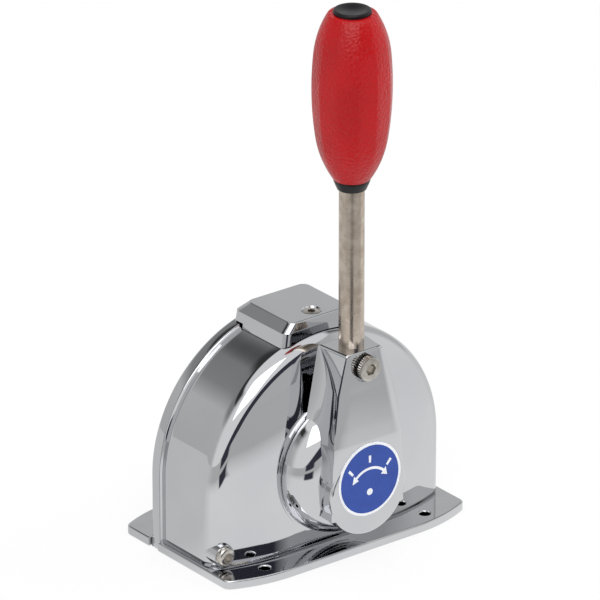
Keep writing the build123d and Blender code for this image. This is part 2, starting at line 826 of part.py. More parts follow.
# Friction drum: a rim on a thin web and a keyed hub
with BuildPart() as friction_drum:
    with BuildSketch(facing(drum_front_y)):
        with Locations((0, pivot_z)):
            Circle(drum_r)
    extrude(amount=-drum_t)
    for face_y, inward in ((drum_front_y, -1), (circlip_y, 1)):
        with BuildSketch(facing(face_y)):
            with Locations((0, pivot_z)):
                Circle(drum_r - drum_rim)
                Circle(hub_r, mode=Mode.SUBTRACT)
        extrude(amount=inward * (drum_t - drum_web_t) / 2, mode=Mode.SUBTRACT)
    keyed_bore(drum_front_y, drum_t)
export(friction_drum, "friction_drum")

with BuildPart() as shaft_circlip:
    with BuildSketch(facing(circlip_y)):
        with Locations((0, pivot_z)):
            Circle(circlip_r)
            Circle(shaft_r - circlip_groove + seat_fit, mode=Mode.SUBTRACT)
        with Locations((0, pivot_z - circlip_r)):
            Rectangle(shaft_r, circlip_r, mode=Mode.SUBTRACT)
    extrude(amount=-circlip_t)
export(shaft_circlip, "shaft_circlip")

# Wire anchor that turns in the crank's eye, its clip and its clamping screw
with BuildPart() as wire_anchor:
    with BuildSketch(facing(anchor_rear_y)):
        with Locations((crank_radius, pivot_z)):
            Circle(anchor_head_r)
    extrude(amount=anchor_rear_y - anchor_front_y)
    with BuildSketch(facing(anchor_front_y)):
        with Locations((crank_radius, pivot_z)):
            Circle(anchor_pin_r)
    extrude(amount=anchor_front_y - crank_front_y + slip_gap + 2 * anchor_clip_t)
    with BuildSketch(facing(crank_front_y - slip_gap)):
        with Locations((crank_radius, pivot_z)):
            Circle(anchor_clip_r)
            Circle(anchor_pin_r - circlip_groove, mode=Mode.SUBTRACT)
    extrude(amount=anchor_clip_t, mode=Mode.SUBTRACT)
    with Locations((crank_radius, wire_y, pivot_z + anchor_head_r)):
        Hole(wire_r, depth=2 * anchor_head_r)
    with BuildSketch(facing(anchor_rear_y)):
        with Locations((crank_radius, pivot_z)):
            Circle(anchor_screw_r + seat_fit)
    extrude(amount=anchor_rear_y - wire_y, mode=Mode.SUBTRACT)
export(wire_anchor, "wire_anchor")

with BuildPart() as anchor_clip:
    with BuildSketch(facing(crank_front_y - slip_gap)):
        with Locations((crank_radius, pivot_z)):
            Circle(anchor_clip_r)
            Circle(anchor_pin_r - circlip_groove + seat_fit, mode=Mode.SUBTRACT)
        with Locations((crank_radius, pivot_z - anchor_clip_r)):
            Rectangle(anchor_pin_r, anchor_clip_r, mode=Mode.SUBTRACT)
    extrude(amount=anchor_clip_t)
export(anchor_clip, "anchor_clip")

with BuildPart() as anchor_screw:
    with BuildSketch(facing(anchor_rear_y)):
        with Locations((crank_radius, pivot_z)):
            Circle(anchor_screw_r)
    extrude(amount=anchor_rear_y - wire_y - wire_r - seat_fit)
    with BuildSketch(facing(anchor_rear_y)):
        with Locations((crank_radius, pivot_z)):
            RegularPolygon(anchor_hex_af / 2, 6, major_radius=False)
    extrude(amount=anchor_hex_depth, mode=Mode.SUBTRACT)
export(anchor_screw, "anchor_screw")

# Cable stop: a strap across the outlet, a hollow adjuster and its two nuts
with BuildPart() as cable_bracket:
    with BuildSketch(Plane.XY.offset(plate_t)):
        with Locations((bracket_x, (bracket_front_y + bracket_rear_y) / 2)):
            RectangleRounded(bracket_w, bracket_rear_y - bracket_front_y, bracket_corner_r)
    extrude(amount=bracket_t)
    with Locations((bracket_x, wire_y, plate_t + bracket_t)):
        Hole(adjuster_r + running_fit)
    with Locations([(x, y, plate_t + bracket_t) for x, y in bracket_screw_spots]):
        Hole(bracket_screw_r + seat_fit)
export(cable_bracket, "cable_bracket")

with BuildPart() as bracket_screws:
    for x, y in bracket_screw_spots:
        strap_top = Plane((x, y, plate_t + bracket_t))
        length = plate_t + bracket_t - bracket_screw_short
        add(
            socket_screw(
                strap_top, bracket_screw_r, length, bracket_head_r, bracket_head_h, bracket_hex_af
            ).part
        )
export(bracket_screws, "bracket_screws")

with BuildPart() as cable_adjuster:
    with BuildSketch(Plane.XY.offset(adjuster_bottom_z)):
        with Locations((bracket_x, wire_y)):
            Circle(adjuster_r)
            Circle(wire_r, mode=Mode.SUBTRACT)
    extrude(amount=adjuster_top_z - adjuster_bottom_z)
    with BuildSketch(Plane.XY.offset(adjuster_bottom_z)):
        with Locations((bracket_x, wire_y)):
            Circle(conduit_r)
    extrude(amount=conduit_depth, mode=Mode.SUBTRACT)
export(cable_adjuster, "cable_adjuster")

with BuildPart() as adjuster_nuts:
    for bottom_z, nut_t in ((plate_t - lower_nut_t, lower_nut_t), (plate_t + bracket_t, upper_nut_t)):
        with BuildSketch(Plane.XY.offset(bottom_z)):
            with Locations((bracket_x, wire_y)):
                RegularPolygon(lock_nut_af / 2, 6, major_radius=False)
                Circle(adjuster_r + seat_fit, mode=Mode.SUBTRACT)
        extrude(amount=nut_t)
export(adjuster_nuts, "adjuster_nuts")

# Lever arm: six-cornered sections from the hub to the head, the lower disc and the hub dome.
# Each row is the share of the arm's length above the pivot, then the half width at the back,
# at the outer corner and at the flat panel, then how far the outer corner and the panel stand out.
arm_sections = (
    (-0.05, 20.5, 21.5, 13.5, 21.7, 23.1),
    (0.3, 20.8, 19.8, 11.8, 21.4, 22.8),
    (0.7, 16.1, 16.0, 9.3, 19.1, 20.7),
    (1.0, 12.4, 10.8, 8.0, 18.6, 19.4),
)
with BuildPart() as lever_arm:
    for share, rear_x, outer_x, panel_x, outer_h, panel_h in arm_sections:
        with BuildSketch(Plane.XY.offset(pivot_z + share * arm_l)):
            with BuildLine():
                Polyline(
                    (-rear_x, lever_back_y),
                    (-outer_x, lever_back_y - outer_h),
                    (-panel_x, lever_back_y - panel_h),
                    (panel_x, lever_back_y - panel_h),
                    (outer_x, lever_back_y - outer_h),
                    (rear_x, lever_back_y),
                    close=True,
                )
            make_face()
    loft(ruled=True)
    with BuildSketch(facing(disc_back_y)):
        with Locations((0, disc_z)):
            Circle(disc_r)
    extrude(amount=disc_back_y - disc_front_y - disc_edge_r)
    with BuildSketch(facing(disc_front_y + disc_edge_r)):
        with Locations((0, disc_z)):
            Circle(disc_r)
    with BuildSketch(facing(disc_front_y)):
        with Locations((0, disc_z)):
            Circle(disc_r - disc_edge_r)
    loft()
    with BuildSketch(facing(disc_back_y)):
        with Locations((0, label_z)):
            Circle(pad_r)
    extrude(amount=disc_back_y - disc_front_y)
    with BuildSketch(Plane.XY.offset(pivot_z)) as dome_section:
        with BuildLine():
            rim = Line((dome_r, lever_back_y), (dome_r, lever_back_y - dome_rim_t))
            shoulder = ThreePointArc(
                rim @ 1,
                (dome_r - dome_bulge_in, lever_back_y - dome_rim_t - dome_bulge_h),
                (dome_top_r, dome_top_y),
            )
            Polyline(shoulder @ 1, (0, dome_top_y), (0, lever_back_y), (dome_r, lever_back_y))
        make_face()
    revolve(axis=pivot_axis)
    # Pocket of the label, pocket of the hub bolt, bore of the shaft
    with BuildSketch(facing(label_floor_y)):
        with Locations((0, label_z)):
            Circle(label_r + seat_fit)
    extrude(amount=label_floor_y - disc_front_y + label_t, mode=Mode.SUBTRACT)
    with BuildSketch(facing(hub_floor_y)):
        with Locations((0, pivot_z)):
            Circle(hub_pocket_r)
    extrude(amount=hub_floor_y - disc_front_y, mode=Mode.SUBTRACT)
    keyed_bore(hub_floor_y, lever_back_y - hub_floor_y)
    # Seat of the rod and of the screw that crosses it
    with Locations((0, rod_y, arm_top_z)):
        Hole(rod_r + seat_fit, depth=arm_top_z - rod_bottom_z)
    with BuildSketch(facing(clamp_seat_y)):
        with Locations((0, clamp_z)):
            Circle(clamp_seat_r)
    extrude(amount=clamp_seat_y - disc_front_y, mode=Mode.SUBTRACT)
    with Locations(facing(clamp_seat_y)):
        with Locations((0, clamp_z)):
            Hole(clamp_shank_r + seat_fit, depth=clamp_shank_l + seat_fit)
export(lever_arm, "lever_arm")

with BuildPart() as hub_washer:
    add(ring(facing(hub_floor_y), hub_washer_r, hub_bolt_r + seat_fit, hub_washer_t, (0, pivot_z)).part)
export(hub_washer, "hub_washer")

with BuildPart() as hub_bolt:
    washer_front = Plane((0, hub_floor_y - hub_washer_t, pivot_z), x_dir=(1, 0, 0), z_dir=(0, -1, 0))
    bolt_l = hub_bolt_l - hub_bolt_end
    add(
        socket_screw(
            washer_front, hub_bolt_r, bolt_l, hub_bolt_head_r, hub_bolt_head_h, hub_bolt_hex_af
        ).part
    )
export(hub_bolt, "hub_bolt")

with BuildPart() as label_disc:
    with BuildSketch(facing(label_floor_y)):
        with Locations((0, label_z)):
            Circle(label_r)
    extrude(amount=label_t)
export(label_disc, "label_disc")

# Rod with the cross hole at its foot and the thread for the grip's bolt at its top
with BuildPart() as lever_rod:
    with BuildSketch(Plane.XY.offset(rod_bottom_z + seat_fit)):
        with Locations((0, rod_y)):
            Circle(rod_r)
    extrude(amount=rod_top_z - rod_bottom_z - seat_fit)
    chamfer(lever_rod.faces().sort_by(Axis.Z)[-1].edges(), length=rod_chamfer)
    with Locations(facing(rod_y - rod_r)):
        with Locations((0, clamp_z)):
            Hole(clamp_shank_r + seat_fit, depth=2 * rod_r)
    with Locations((0, rod_y, rod_top_z)):
        Hole(grip_bolt_r + seat_fit, depth=grip_bolt_l)
export(lever_rod, "lever_rod")

# Cap head screw with a knurled head
clamp_front = Plane((0, clamp_seat_y, clamp_z), x_dir=(1, 0, 0), z_dir=(0, -1, 0))
with BuildPart() as clamp_screw:
    add(
        socket_screw(
            clamp_front,
            clamp_shank_r,
            clamp_shank_l,
            clamp_head_r,
            clamp_head_h,
            clamp_hex_af,
            clamp_head_round,
        ).part
    )
    with BuildSketch(clamp_front.offset(knurl_start)):
        with PolarLocations(clamp_head_r, clamp_knurls):
            Rectangle(knurl_w, knurl_w, rotation=45)
    extrude(amount=knurl_l, mode=Mode.SUBTRACT)
export(clamp_screw, "clamp_screw")

# Grip: a barrel of three arcs turned round the rod, with a pocket for the bolt under the cap
with BuildPart() as grip:
    with BuildSketch(Plane((0, rod_y, 0), x_dir=(1, 0, 0), z_dir=(0, -1, 0))):
        with BuildLine():
            foot = Line((rod_r + seat_fit, grip_bottom_z), (grip_foot_r, grip_bottom_z))
            flare = ThreePointArc(
                foot @ 1,
                (grip_flare_r, grip_bottom_z + grip_flare_at * grip_l),
                (grip_waist_r, grip_bottom_z + grip_waist_at * grip_l),
            )
            shoulder_z = grip_bottom_z + grip_shoulder_at * grip_l
            belly = TangentArc(flare @ 1, (grip_shoulder_r, shoulder_z), tangent=flare % 1)
            head_z = grip_top_z - grip_head_edge
            shoulder = TangentArc(belly @ 1, (grip_head_r, head_z), tangent=belly % 1)
            top = Line(shoulder @ 1, (cap_r + seat_fit + grip_rim_w, grip_top_z))
            Polyline(
                top @ 1,
                (grip_pocket_r, grip_top_z),
                (grip_pocket_r, grip_floor_z),
                (rod_r + seat_fit, grip_floor_z),
                foot @ 0,
            )
        make_face()
    revolve(axis=rod_axis)
export(grip, "grip")

with BuildPart() as grip_collar:
    with BuildSketch(Plane.XY.offset(collar_bottom_z)):
        with Locations((0, rod_y)):
            Circle(collar_foot_r)
    with BuildSketch(Plane.XY.offset(grip_bottom_z)):
        with Locations((0, rod_y)):
            Circle(collar_head_r)
    loft()
    with Locations((0, rod_y, grip_bottom_z)):
        Hole(rod_r + seat_fit)
export(grip_collar, "grip_collar")

with BuildPart() as grip_washer:
    washer_bottom = Plane.XY.offset(grip_floor_z)
    add(ring(washer_bottom, grip_washer_r, grip_bolt_r + seat_fit, grip_washer_t, (0, rod_y)).part)
export(grip_washer, "grip_washer")

with BuildPart() as grip_bolt:
    washer_top = Plane((0, rod_y, grip_floor_z + grip_washer_t))
    add(
        socket_screw(
            washer_top, grip_bolt_r, grip_bolt_l, grip_bolt_head_r, grip_bolt_head_h, grip_bolt_hex_af
        ).part
    )
export(grip_bolt, "grip_bolt")

# Cap: a dished lid with a stem that plugs the pocket
with BuildPart() as grip_cap:
    with BuildSketch(Plane((0, rod_y, 0), x_dir=(1, 0, 0), z_dir=(0, -1, 0))):
        with BuildLine():
            stem_r = grip_pocket_r - seat_fit
            Polyline(
                (0, grip_top_z - cap_stem_l),
                (stem_r, grip_top_z - cap_stem_l),
                (stem_r, grip_top_z),
                (cap_r, grip_top_z),
            )
            rim = ThreePointArc(
                (cap_r, grip_top_z),
                (cap_r - cap_rim_w * (1 - sqrt(0.5)), grip_top_z + cap_t * sqrt(0.5)),
                (cap_r - cap_rim_w, grip_top_z + cap_t),
            )
            Polyline(rim @ 1, (0, grip_top_z + cap_t), (0, grip_top_z - cap_stem_l))
        make_face()
    revolve(axis=rod_axis)
    dish_half = cap_r - cap_rim_w
    dish_r = (dish_half**2 + cap_dish**2) / (2 * cap_dish)
    with Locations((0, rod_y, grip_top_z + cap_t - cap_dish + dish_r)):
        Sphere(dish_r, mode=Mode.SUBTRACT)
export(grip_cap, "grip_cap")
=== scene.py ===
"""Deck-mounted single lever control: chromed castings, lever, rod and grip, dressed for the studio.

The CAD model is the frame, in metres. Sizes here are in millimetres, and pieces are written
to their meshes through one factor. X runs along the plate, Y to the back, Z up.
"""
import json
import logging
from dataclasses import dataclass
from enum import Enum
from functools import cache
from math import asin, atan2, cos, degrees, pi, radians, sin
from typing import Any, Sequence

import bmesh
import bpy
import numpy as np
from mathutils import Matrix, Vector


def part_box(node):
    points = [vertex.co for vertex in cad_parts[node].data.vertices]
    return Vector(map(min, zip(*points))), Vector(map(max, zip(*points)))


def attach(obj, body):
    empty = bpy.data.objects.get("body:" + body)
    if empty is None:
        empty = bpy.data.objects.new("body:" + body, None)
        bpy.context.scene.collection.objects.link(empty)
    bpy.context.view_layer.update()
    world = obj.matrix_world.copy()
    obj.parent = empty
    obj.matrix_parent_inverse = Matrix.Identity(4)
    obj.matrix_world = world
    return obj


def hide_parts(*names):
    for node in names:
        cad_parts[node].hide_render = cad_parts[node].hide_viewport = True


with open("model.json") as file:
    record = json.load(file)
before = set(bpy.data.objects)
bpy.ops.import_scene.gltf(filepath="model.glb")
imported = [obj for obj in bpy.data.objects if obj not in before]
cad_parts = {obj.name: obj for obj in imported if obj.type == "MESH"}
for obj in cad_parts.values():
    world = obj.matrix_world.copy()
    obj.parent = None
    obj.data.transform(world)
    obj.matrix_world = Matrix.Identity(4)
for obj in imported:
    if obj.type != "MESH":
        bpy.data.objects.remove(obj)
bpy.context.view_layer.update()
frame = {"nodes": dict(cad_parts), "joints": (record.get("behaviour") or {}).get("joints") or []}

MM = 0.001
LOG = logging.getLogger("lever_control")

Array = np.ndarray
Tree = bpy.types.NodeTree
Colour = tuple[float, float, float, float]
Stops = Sequence[tuple[float, float]]


class Body(Enum):
    """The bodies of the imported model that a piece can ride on."""

    HOUSING = "housing"
    LEVER = "lever"


class Slot(Enum):
    """The record's material slots, named in each new piece's dress; no piece is given one here."""

    CHROME = "chromed_zinc"
    BAR = "stainless_rod"
    BRIGHT_STEEL = "bright_steel"
    RED = "red_plastic"
    BLACK = "black_plastic"
    LABEL = "blue_label"


class Facing(Enum):
    """The way that a turned piece's axis points."""

    UP = "up"
    FRONT = "front"


# Colours, nodes and finishes


def linear(code: str) -> Colour:
    """Turn an sRGB hex colour into the linear colour that a shader takes.

    Args:
        code: colour written as #RRGGBB.

    Returns:
        Red, green, blue and alpha.
    """
    channels = [int(code[start:start + 2], 16) / 255 for start in (1, 3, 5)]
    red, green, blue = (c / 12.92 if c <= 0.04045 else ((c + 0.055) / 1.055) ** 2.4 for c in channels)
    return red, green, blue, 1.0


def grey(tone: float) -> Colour:
    """The linear grey of a tone from 0 to 1."""
    return tone, tone, tone, 1.0


def node(tree: Tree, kind: str, inputs: dict[Any, Any] | None = None, **settings: Any) -> Any:
    """Add one shader node with its settings, values and links.

    Args:
        tree: node tree that gets the node.
        kind: node type without its ShaderNode prefix.
        inputs: input name or number, with a value or with the socket that feeds it.
        **settings: the node's own properties.

    Returns:
        The node.
    """
    made = tree.nodes.new("ShaderNode" + kind)
    for name, value in settings.items():
        setattr(made, name, value)
    for name, value in (inputs or {}).items():
        if isinstance(value, bpy.types.NodeSocket):
            tree.links.new(value, made.inputs[name])
        else:
            made.inputs[name].default_value = value
    return made


def ramp(tree: Tree, factor: Any, stops: Sequence[tuple[float, Colour]]) -> Any:
    """Add a colour ramp with its stops and return its colour socket."""
    made = node(tree, "ValToRGB", {"Fac": factor})
    elements = made.color_ramp.elements
    while len(elements) < len(stops):
        elements.new(0.5)
    for element, (place, colour) in zip(elements, stops):
        element.position = place
        element.color = colour
    return made.outputs["Color"]


def grey_ramp(tree: Tree, factor: Any, stops: Stops) -> Any:
    """Add a ramp of greys, given as places and tones, and return its colour socket."""
    return ramp(tree, factor, [(place, grey(tone)) for place, tone in stops])


def maths(tree: Tree, operation: str, *values: Any) -> Any:
    """Work out one value from others and return its socket."""
    return node(tree, "Math", dict(enumerate(values)), operation=operation).outputs[0]


def vector(tree: Tree, operation: str, *values: Any) -> Any:
    """Work out one vector from others and return its socket."""
    return node(tree, "VectorMath", dict(enumerate(values)), operation=operation).outputs["Vector"]


def between(
    tree: Tree, value: Any, span: tuple[float, float], tones: tuple[float, float] = (0.0, 1.0)
) -> Any:
    """Carry a value evenly from the one tone to the other over a span, held at both ends."""
    low, high = span
    first, last = tones
    inputs = {"Value": value, "From Min": low, "From Max": high, "To Min": first, "To Max": last}
    return node(tree, "MapRange", inputs).outputs["Result"]


def mixed(tree: Tree, factor: Any, first: Any, second: Any) -> Any:
    """Mix two colours, the second one by the factor, and return the colour socket."""
    return node(tree, "Mix", {0: factor, 6: first, 7: second}, data_type="RGBA").outputs[2]


@dataclass(frozen=True)
class Finish:
    """One finish, with the size of its surface detail in millimetres.

    The colour drifts between two shades over soft patches, the roughness drifts with it,
    and a fine grain is raised by bump. The stretch draws the grain out along an axis.
    """

    name: str
    colour: str
    shade: str
    metallic: float
    roughness: float
    roughness_spread: float
    patch_mm: float
    grain_mm: float
    grain_rise_mm: float
    stretch: tuple[float, float, float] = (1.0, 1.0, 1.0)
    specular: float = 0.5
    patch_detail: float = 3.0
    tint_span: tuple[float, float] = (0.38, 0.62)
    gloss_span: tuple[float, float] = (0.35, 0.65)

    def material(self) -> bpy.types.Material:
        """Build the finish as a node material on Object coordinates."""
        made = bpy.data.materials.new(self.name)
        made.use_nodes = True
        tree = made.node_tree
        shader = tree.nodes["Principled BSDF"]
        place = node(tree, "TexCoord").outputs["Object"]
        patches = {"Vector": place, "Scale": 1 / (self.patch_mm * MM), "Detail": self.patch_detail}
        drift = node(tree, "TexNoise", patches).outputs["Fac"]
        shades = (linear(self.shade), linear(self.colour))
        tint = ramp(tree, drift, list(zip(self.tint_span, shades)))
        dullest = self.roughness + self.roughness_spread
        gloss = between(tree, drift, self.gloss_span, (dullest, self.roughness))
        tree.links.new(tint, shader.inputs["Base Color"])
        tree.links.new(gloss, shader.inputs["Roughness"])
        shader.inputs["Metallic"].default_value = self.metallic
        if not self.metallic:
            shader.inputs["Specular IOR Level"].default_value = self.specular
        rise = {"Height": self.relief(tree, place), "Distance": self.grain_rise_mm * MM, "Strength": 1.0}
        tree.links.new(node(tree, "Bump", rise).outputs["Normal"], shader.inputs["Normal"])
        return made

    def relief(self, tree: Tree, place: Any) -> Any:
        """Noise of the grain's size, drawn out along the stretch. Returns its height socket."""
        drawn = node(tree, "Mapping", {"Vector": place, "Scale": self.stretch}).outputs["Vector"]
        grain = {"Vector": drawn, "Scale": 1 / (self.grain_mm * MM), "Detail": 2.0}
        return node(tree, "TexNoise", grain).outputs["Fac"]


@dataclass(frozen=True)
class GrainedPlastic(Finish):
    """Moulded plastic with a leather grain: rounded cells with creases between them."""

    cell_mm: float = 0.9
    warp_cells: float = 2.2
    warp_reach: float = 0.6
    smoothness: float = 0.35

    def relief(self, tree: Tree, place: Any) -> Any:
        """Cells of the grain, warped by noise so that no two are alike. Returns their height socket."""
        size = self.cell_mm * MM
        warp = node(tree, "TexNoise", {"Vector": place, "Scale": 1 / (self.warp_cells * size)})
        reach = (self.warp_reach * size,) * 3
        bent = vector(tree, "MULTIPLY_ADD", warp.outputs["Color"], reach, place)
        cells = {"Vector": bent, "Scale": 1 / size, "Smoothness": self.smoothness}
        crease = node(tree, "TexVoronoi", cells, feature="SMOOTH_F1").outputs["Distance"]
        return maths(tree, "SUBTRACT", 1.0, crease)


# Bright decorative chromium over a polished zinc die casting: a mirror with a faint ripple
CHROME = Finish("polished_chrome_plate", "#C8C9CB", "#C4C5C8", 1.0, 0.03, 0.02, 40.0, 16.0, 0.012)
# The same plating where the casting wasn't polished, inside the walls: a dull bright grey
CAST_CHROME = Finish("unpolished_chrome_plate", "#A9ABAE", "#9A9CA0", 1.0, 0.3, 0.12, 9.0, 1.2, 0.03)
# Stainless bar, ground and lightly polished: a warm grey with fine lines along the bar
BAR = Finish("ground_stainless_bar", "#C9BDB0", "#B4A698", 1.0, 0.2, 0.1, 5.0, 0.5, 0.004, (1.0, 1.0, 0.03))
# Turned and polished steel of pins, screws and the shaft: bright with fine turning marks
BRIGHT_STEEL = Finish("turned_bright_steel", "#C4C0BA", "#ADA8A1", 1.0, 0.1, 0.05, 4.0, 0.4, 0.004)
# Zinc plated pressed or milled steel: pale, slightly blue, half dull
ZINC_STEEL = Finish("zinc_plated_steel", "#B9BEC4", "#9FA6AE", 1.0, 0.34, 0.12, 5.0, 0.7, 0.01)
# Oil filled sintered bronze: brown yellow and grainy
BRONZE = Finish("sintered_bronze", "#B08A52", "#8E6C3C", 1.0, 0.42, 0.12, 3.0, 0.35, 0.02)
# Nitrile rubber of the seal: matt black with a bloom
RUBBER = Finish("nitrile_rubber", "#1E1E20", "#2A2A2C", 0.0, 0.62, 0.12, 4.0, 0.5, 0.02)
# Grip of red plasticised PVC, moulded with a leather grain: saturated, half gloss
GRIP_RED = GrainedPlastic(
    "grained_red_vinyl", "#B20910", "#A6080E", 0.0, 0.27, 0.05, 34.0, 0.9, 0.3, specular=0.32, cell_mm=1.5
)
# Cap and collar of moulded black polypropylene: smooth, dark, slightly violet where it shines
CAP_BLACK = Finish(
    "moulded_black_polypropylene", "#0B090E", "#100E13", 0.0, 0.3, 0.06, 6.0, 0.6, 0.008, specular=0.3
)
# Woven brake lining, pressed and ground: brown grey with brassy flecks
LINING = Finish("pressed_brake_lining", "#5A5148", "#3B352F", 0.0, 0.8, 0.1, 1.6, 0.5, 0.05)
# Screen printed polyester label under a clear coat: even blue
LABEL_BLUE = Finish("printed_blue_polyester", "#16439F", "#143E96", 0.0, 0.22, 0.05, 8.0, 0.4, 0.002)
# White of the same print
LABEL_WHITE = Finish("printed_white_polyester", "#EDEFF2", "#E4E7EC", 0.0, 0.25, 0.05, 8.0, 0.4, 0.002)


@cache
def material_of(finish: Finish) -> bpy.types.Material:
    """The finish's material, built once."""
    return finish.material()


# Shapes worked out with numpy, in millimetres


def limits(name: str) -> tuple[Array, Array]:
    """Lowest and highest corner of a CAD node in millimetres."""
    low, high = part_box(name)
    return np.array(low) / MM, np.array(high) / MM


def line(start: Sequence[float], end: Sequence[float], count: int) -> Array:
    """Points spread evenly from start to end."""
    share = np.linspace(0.0, 1.0, count)[:, None]
    return np.asarray(start, float) * (1 - share) + np.asarray(end, float) * share


def arc(centre: Sequence[float], radius: float, start: float, end: float, count: int) -> Array:
    """Points on a circle, centre plus radius times (cos, sin), from one angle to another in degrees."""
    turn = np.radians(np.linspace(start, end, count))
    return np.asarray(centre, float) + radius * np.stack((np.cos(turn), np.sin(turn)), 1)


def circle(centre: Sequence[float], radius: float, sides: int) -> Array:
    """Points all round a circle, each once."""
    return arc(centre, radius, 0.0, 360.0, sides + 1)[:-1]


def bend(start: Array, knee: Array, end: Array, share: Array) -> Array:
    """The quadratic curve (1-t)^2 A + 2t(1-t) B + t^2 C from A to C, drawn to B, at the shares t."""
    return (1 - share) ** 2 * start + 2 * share * (1 - share) * knee + share**2 * end


def through(start: Array, via: Array, end: Array, count: int) -> Array:
    """Points on the circle through three points, from the first to the last by way of the second.

    The centre is where the upright bisectors of the two chords from the first point meet.

    Args:
        start: first point.
        via: a point on the way.
        end: last point.
        count: number of points.

    Returns:
        The points in order.
    """
    ax, ay = via - start
    bx, by = end - start
    a_square, b_square = ax**2 + ay**2, bx**2 + by**2
    turning = 2 * (ax * by - ay * bx)
    centre = start + np.array((by * a_square - ay * b_square, ax * b_square - bx * a_square)) / turning
    turn = np.unwrap([atan2(*(point - centre)[::-1]) for point in (start, via, end)])
    return arc(centre, np.linalg.norm(start - centre), degrees(turn[0]), degrees(turn[2]), count)


def tangent_arc(start: Array, heading: Array, end: Array, count: int) -> tuple[Array, Array]:
    """Points on the circle that leaves a point in a heading and ends at another point.

    The centre lies beside the start, at right angles to the heading, as far from both points.

    Args:
        start: first point.
        heading: direction there.
        end: last point.
        count: number of points.

    Returns:
        The points, and the heading at the end.
    """
    heading = heading / np.linalg.norm(heading)
    normal = np.array((-heading[1], heading[0]))
    chord = end - start
    offset = chord @ chord / (2 * (chord @ normal))
    centre = start + normal * offset
    angles = np.unwrap([atan2(*(point - centre)[::-1]) for point in (start, end)])
    points = arc(centre, abs(offset), degrees(angles[0]), degrees(angles[1]), count)
    last = points[-1] - points[-2]
    return points, last / np.linalg.norm(last)


def join(*parts: Array) -> Array:
    """Runs of points put end to end, without the repeats where they meet."""
    points = np.concatenate(parts)
    kept = np.concatenate(([True], np.linalg.norm(np.diff(points, axis=0), axis=1) > 1e-6))
    return points[kept]


def softened(corners: Sequence[Sequence[float]], setbacks: Sequence[float], steps: int = 7) -> Array:
    """Polyline with rounded corners.

    Each inner corner gives way to the quadratic curve that starts and ends on its two sides at
    the setback and is drawn to the corner.

    Args:
        corners: the polyline's points.
        setbacks: how far each inner corner is cut back, 0 for a sharp one.
        steps: points on each curve.

    Returns:
        The points in order.
    """
    nodes = [np.asarray(corner, float) for corner in corners]
    runs = [nodes[0][None]]
    share = np.linspace(0.0, 1.0, steps)[:, None]
    for before, corner, after, setback in zip(nodes, nodes[1:], nodes[2:], setbacks):
        if not setback:
            runs.append(corner[None])
            continue
        start = corner + (before - corner) * setback / np.linalg.norm(before - corner)
        end = corner + (after - corner) * setback / np.linalg.norm(after - corner)
        runs.append(bend(start, corner, end, share))
    runs.append(nodes[-1][None])
    return join(*runs)


def turned(
    profile: Array, facing: Facing, centre: Sequence[float], sides: int = 96, swell: Array | None = None
) -> Array:
    """Turn a profile of (radius, place along the axis) round its axis.

    At the angle t a point stands at r cos t and r sin t beside the axis.

    Args:
        profile: rows of radius and place.
        facing: UP turns round a vertical axis, FRONT round one along Y.
        centre: the axis' two coordinates, x and y for UP, x and z for FRONT.
        sides: points round the axis.
        swell: factor on the radius for each row and side, or nothing.

    Returns:
        Grid of points, rows by sides by 3.
    """
    angle = np.arange(sides) * 2 * pi / sides
    radius = profile[:, 0][:, None] * (np.ones((1, sides)) if swell is None else swell)
    across, beside = radius * np.cos(angle), radius * np.sin(angle)
    along = np.repeat(profile[:, 1][:, None], sides, 1)
    if facing is Facing.UP:
        return np.stack((centre[0] + across, centre[1] + beside, along), 2)
    return np.stack((centre[0] + across, along, centre[1] + beside), 2)


def ripples(sides: int, count: int, depth: Any) -> Array:
    """Factors 1 - depth |sin(n t / 2)| on a radius, where t is the angle and n the count of ripples."""
    angle = np.arange(sides) * 2 * pi / sides
    return 1 - depth * np.abs(np.sin(count * angle / 2))


def mesh_from(name: str, points: Array, faces: Any) -> bpy.types.Mesh:
    """Make a mesh in metres from points in millimetres, with doubles merged and normals outward."""
    mesh = bpy.data.meshes.new(name)
    mesh.from_pydata((np.asarray(points, float) * MM).tolist(), [], faces)
    work = bmesh.new()
    work.from_mesh(mesh)
    bmesh.ops.remove_doubles(work, verts=work.verts, dist=2e-6)
    bmesh.ops.dissolve_degenerate(work, edges=work.edges, dist=1e-7)
    bmesh.ops.recalc_face_normals(work, faces=work.faces)
    work.to_mesh(mesh)
    work.free()
    return mesh


def grid_mesh(name: str, grid: Array, closed_across: bool = False, caps: bool = False) -> bpy.types.Mesh:
    """Skin a grid of points with quads.

    Args:
        name: the mesh's name.
        grid: rows by columns by 3.
        closed_across: join the last column to the first.
        caps: close the first and last row with one face each.

    Returns:
        The mesh.
    """
    rows, columns = grid.shape[:2]
    index = np.arange(rows * columns).reshape(rows, columns)
    right = np.roll(index, -1, 1) if closed_across else index[:, 1:]
    left = index if closed_across else index[:, :-1]
    quads = np.stack((left[:-1], right[:-1], right[1:], left[1:]), 2).reshape(-1, 4).tolist()
    if caps:
        quads += [index[0].tolist(), index[-1].tolist()]
    return mesh_from(name, grid.reshape(-1, 3), quads)


@dataclass(frozen=True)
class Dress:
    """What a new piece rides on, takes its finish from and stands for."""

    body: Body
    slot: Slot
    finish: Finish
    stands_for: tuple[str, ...] = ()
    sharp_deg: float = 32.0


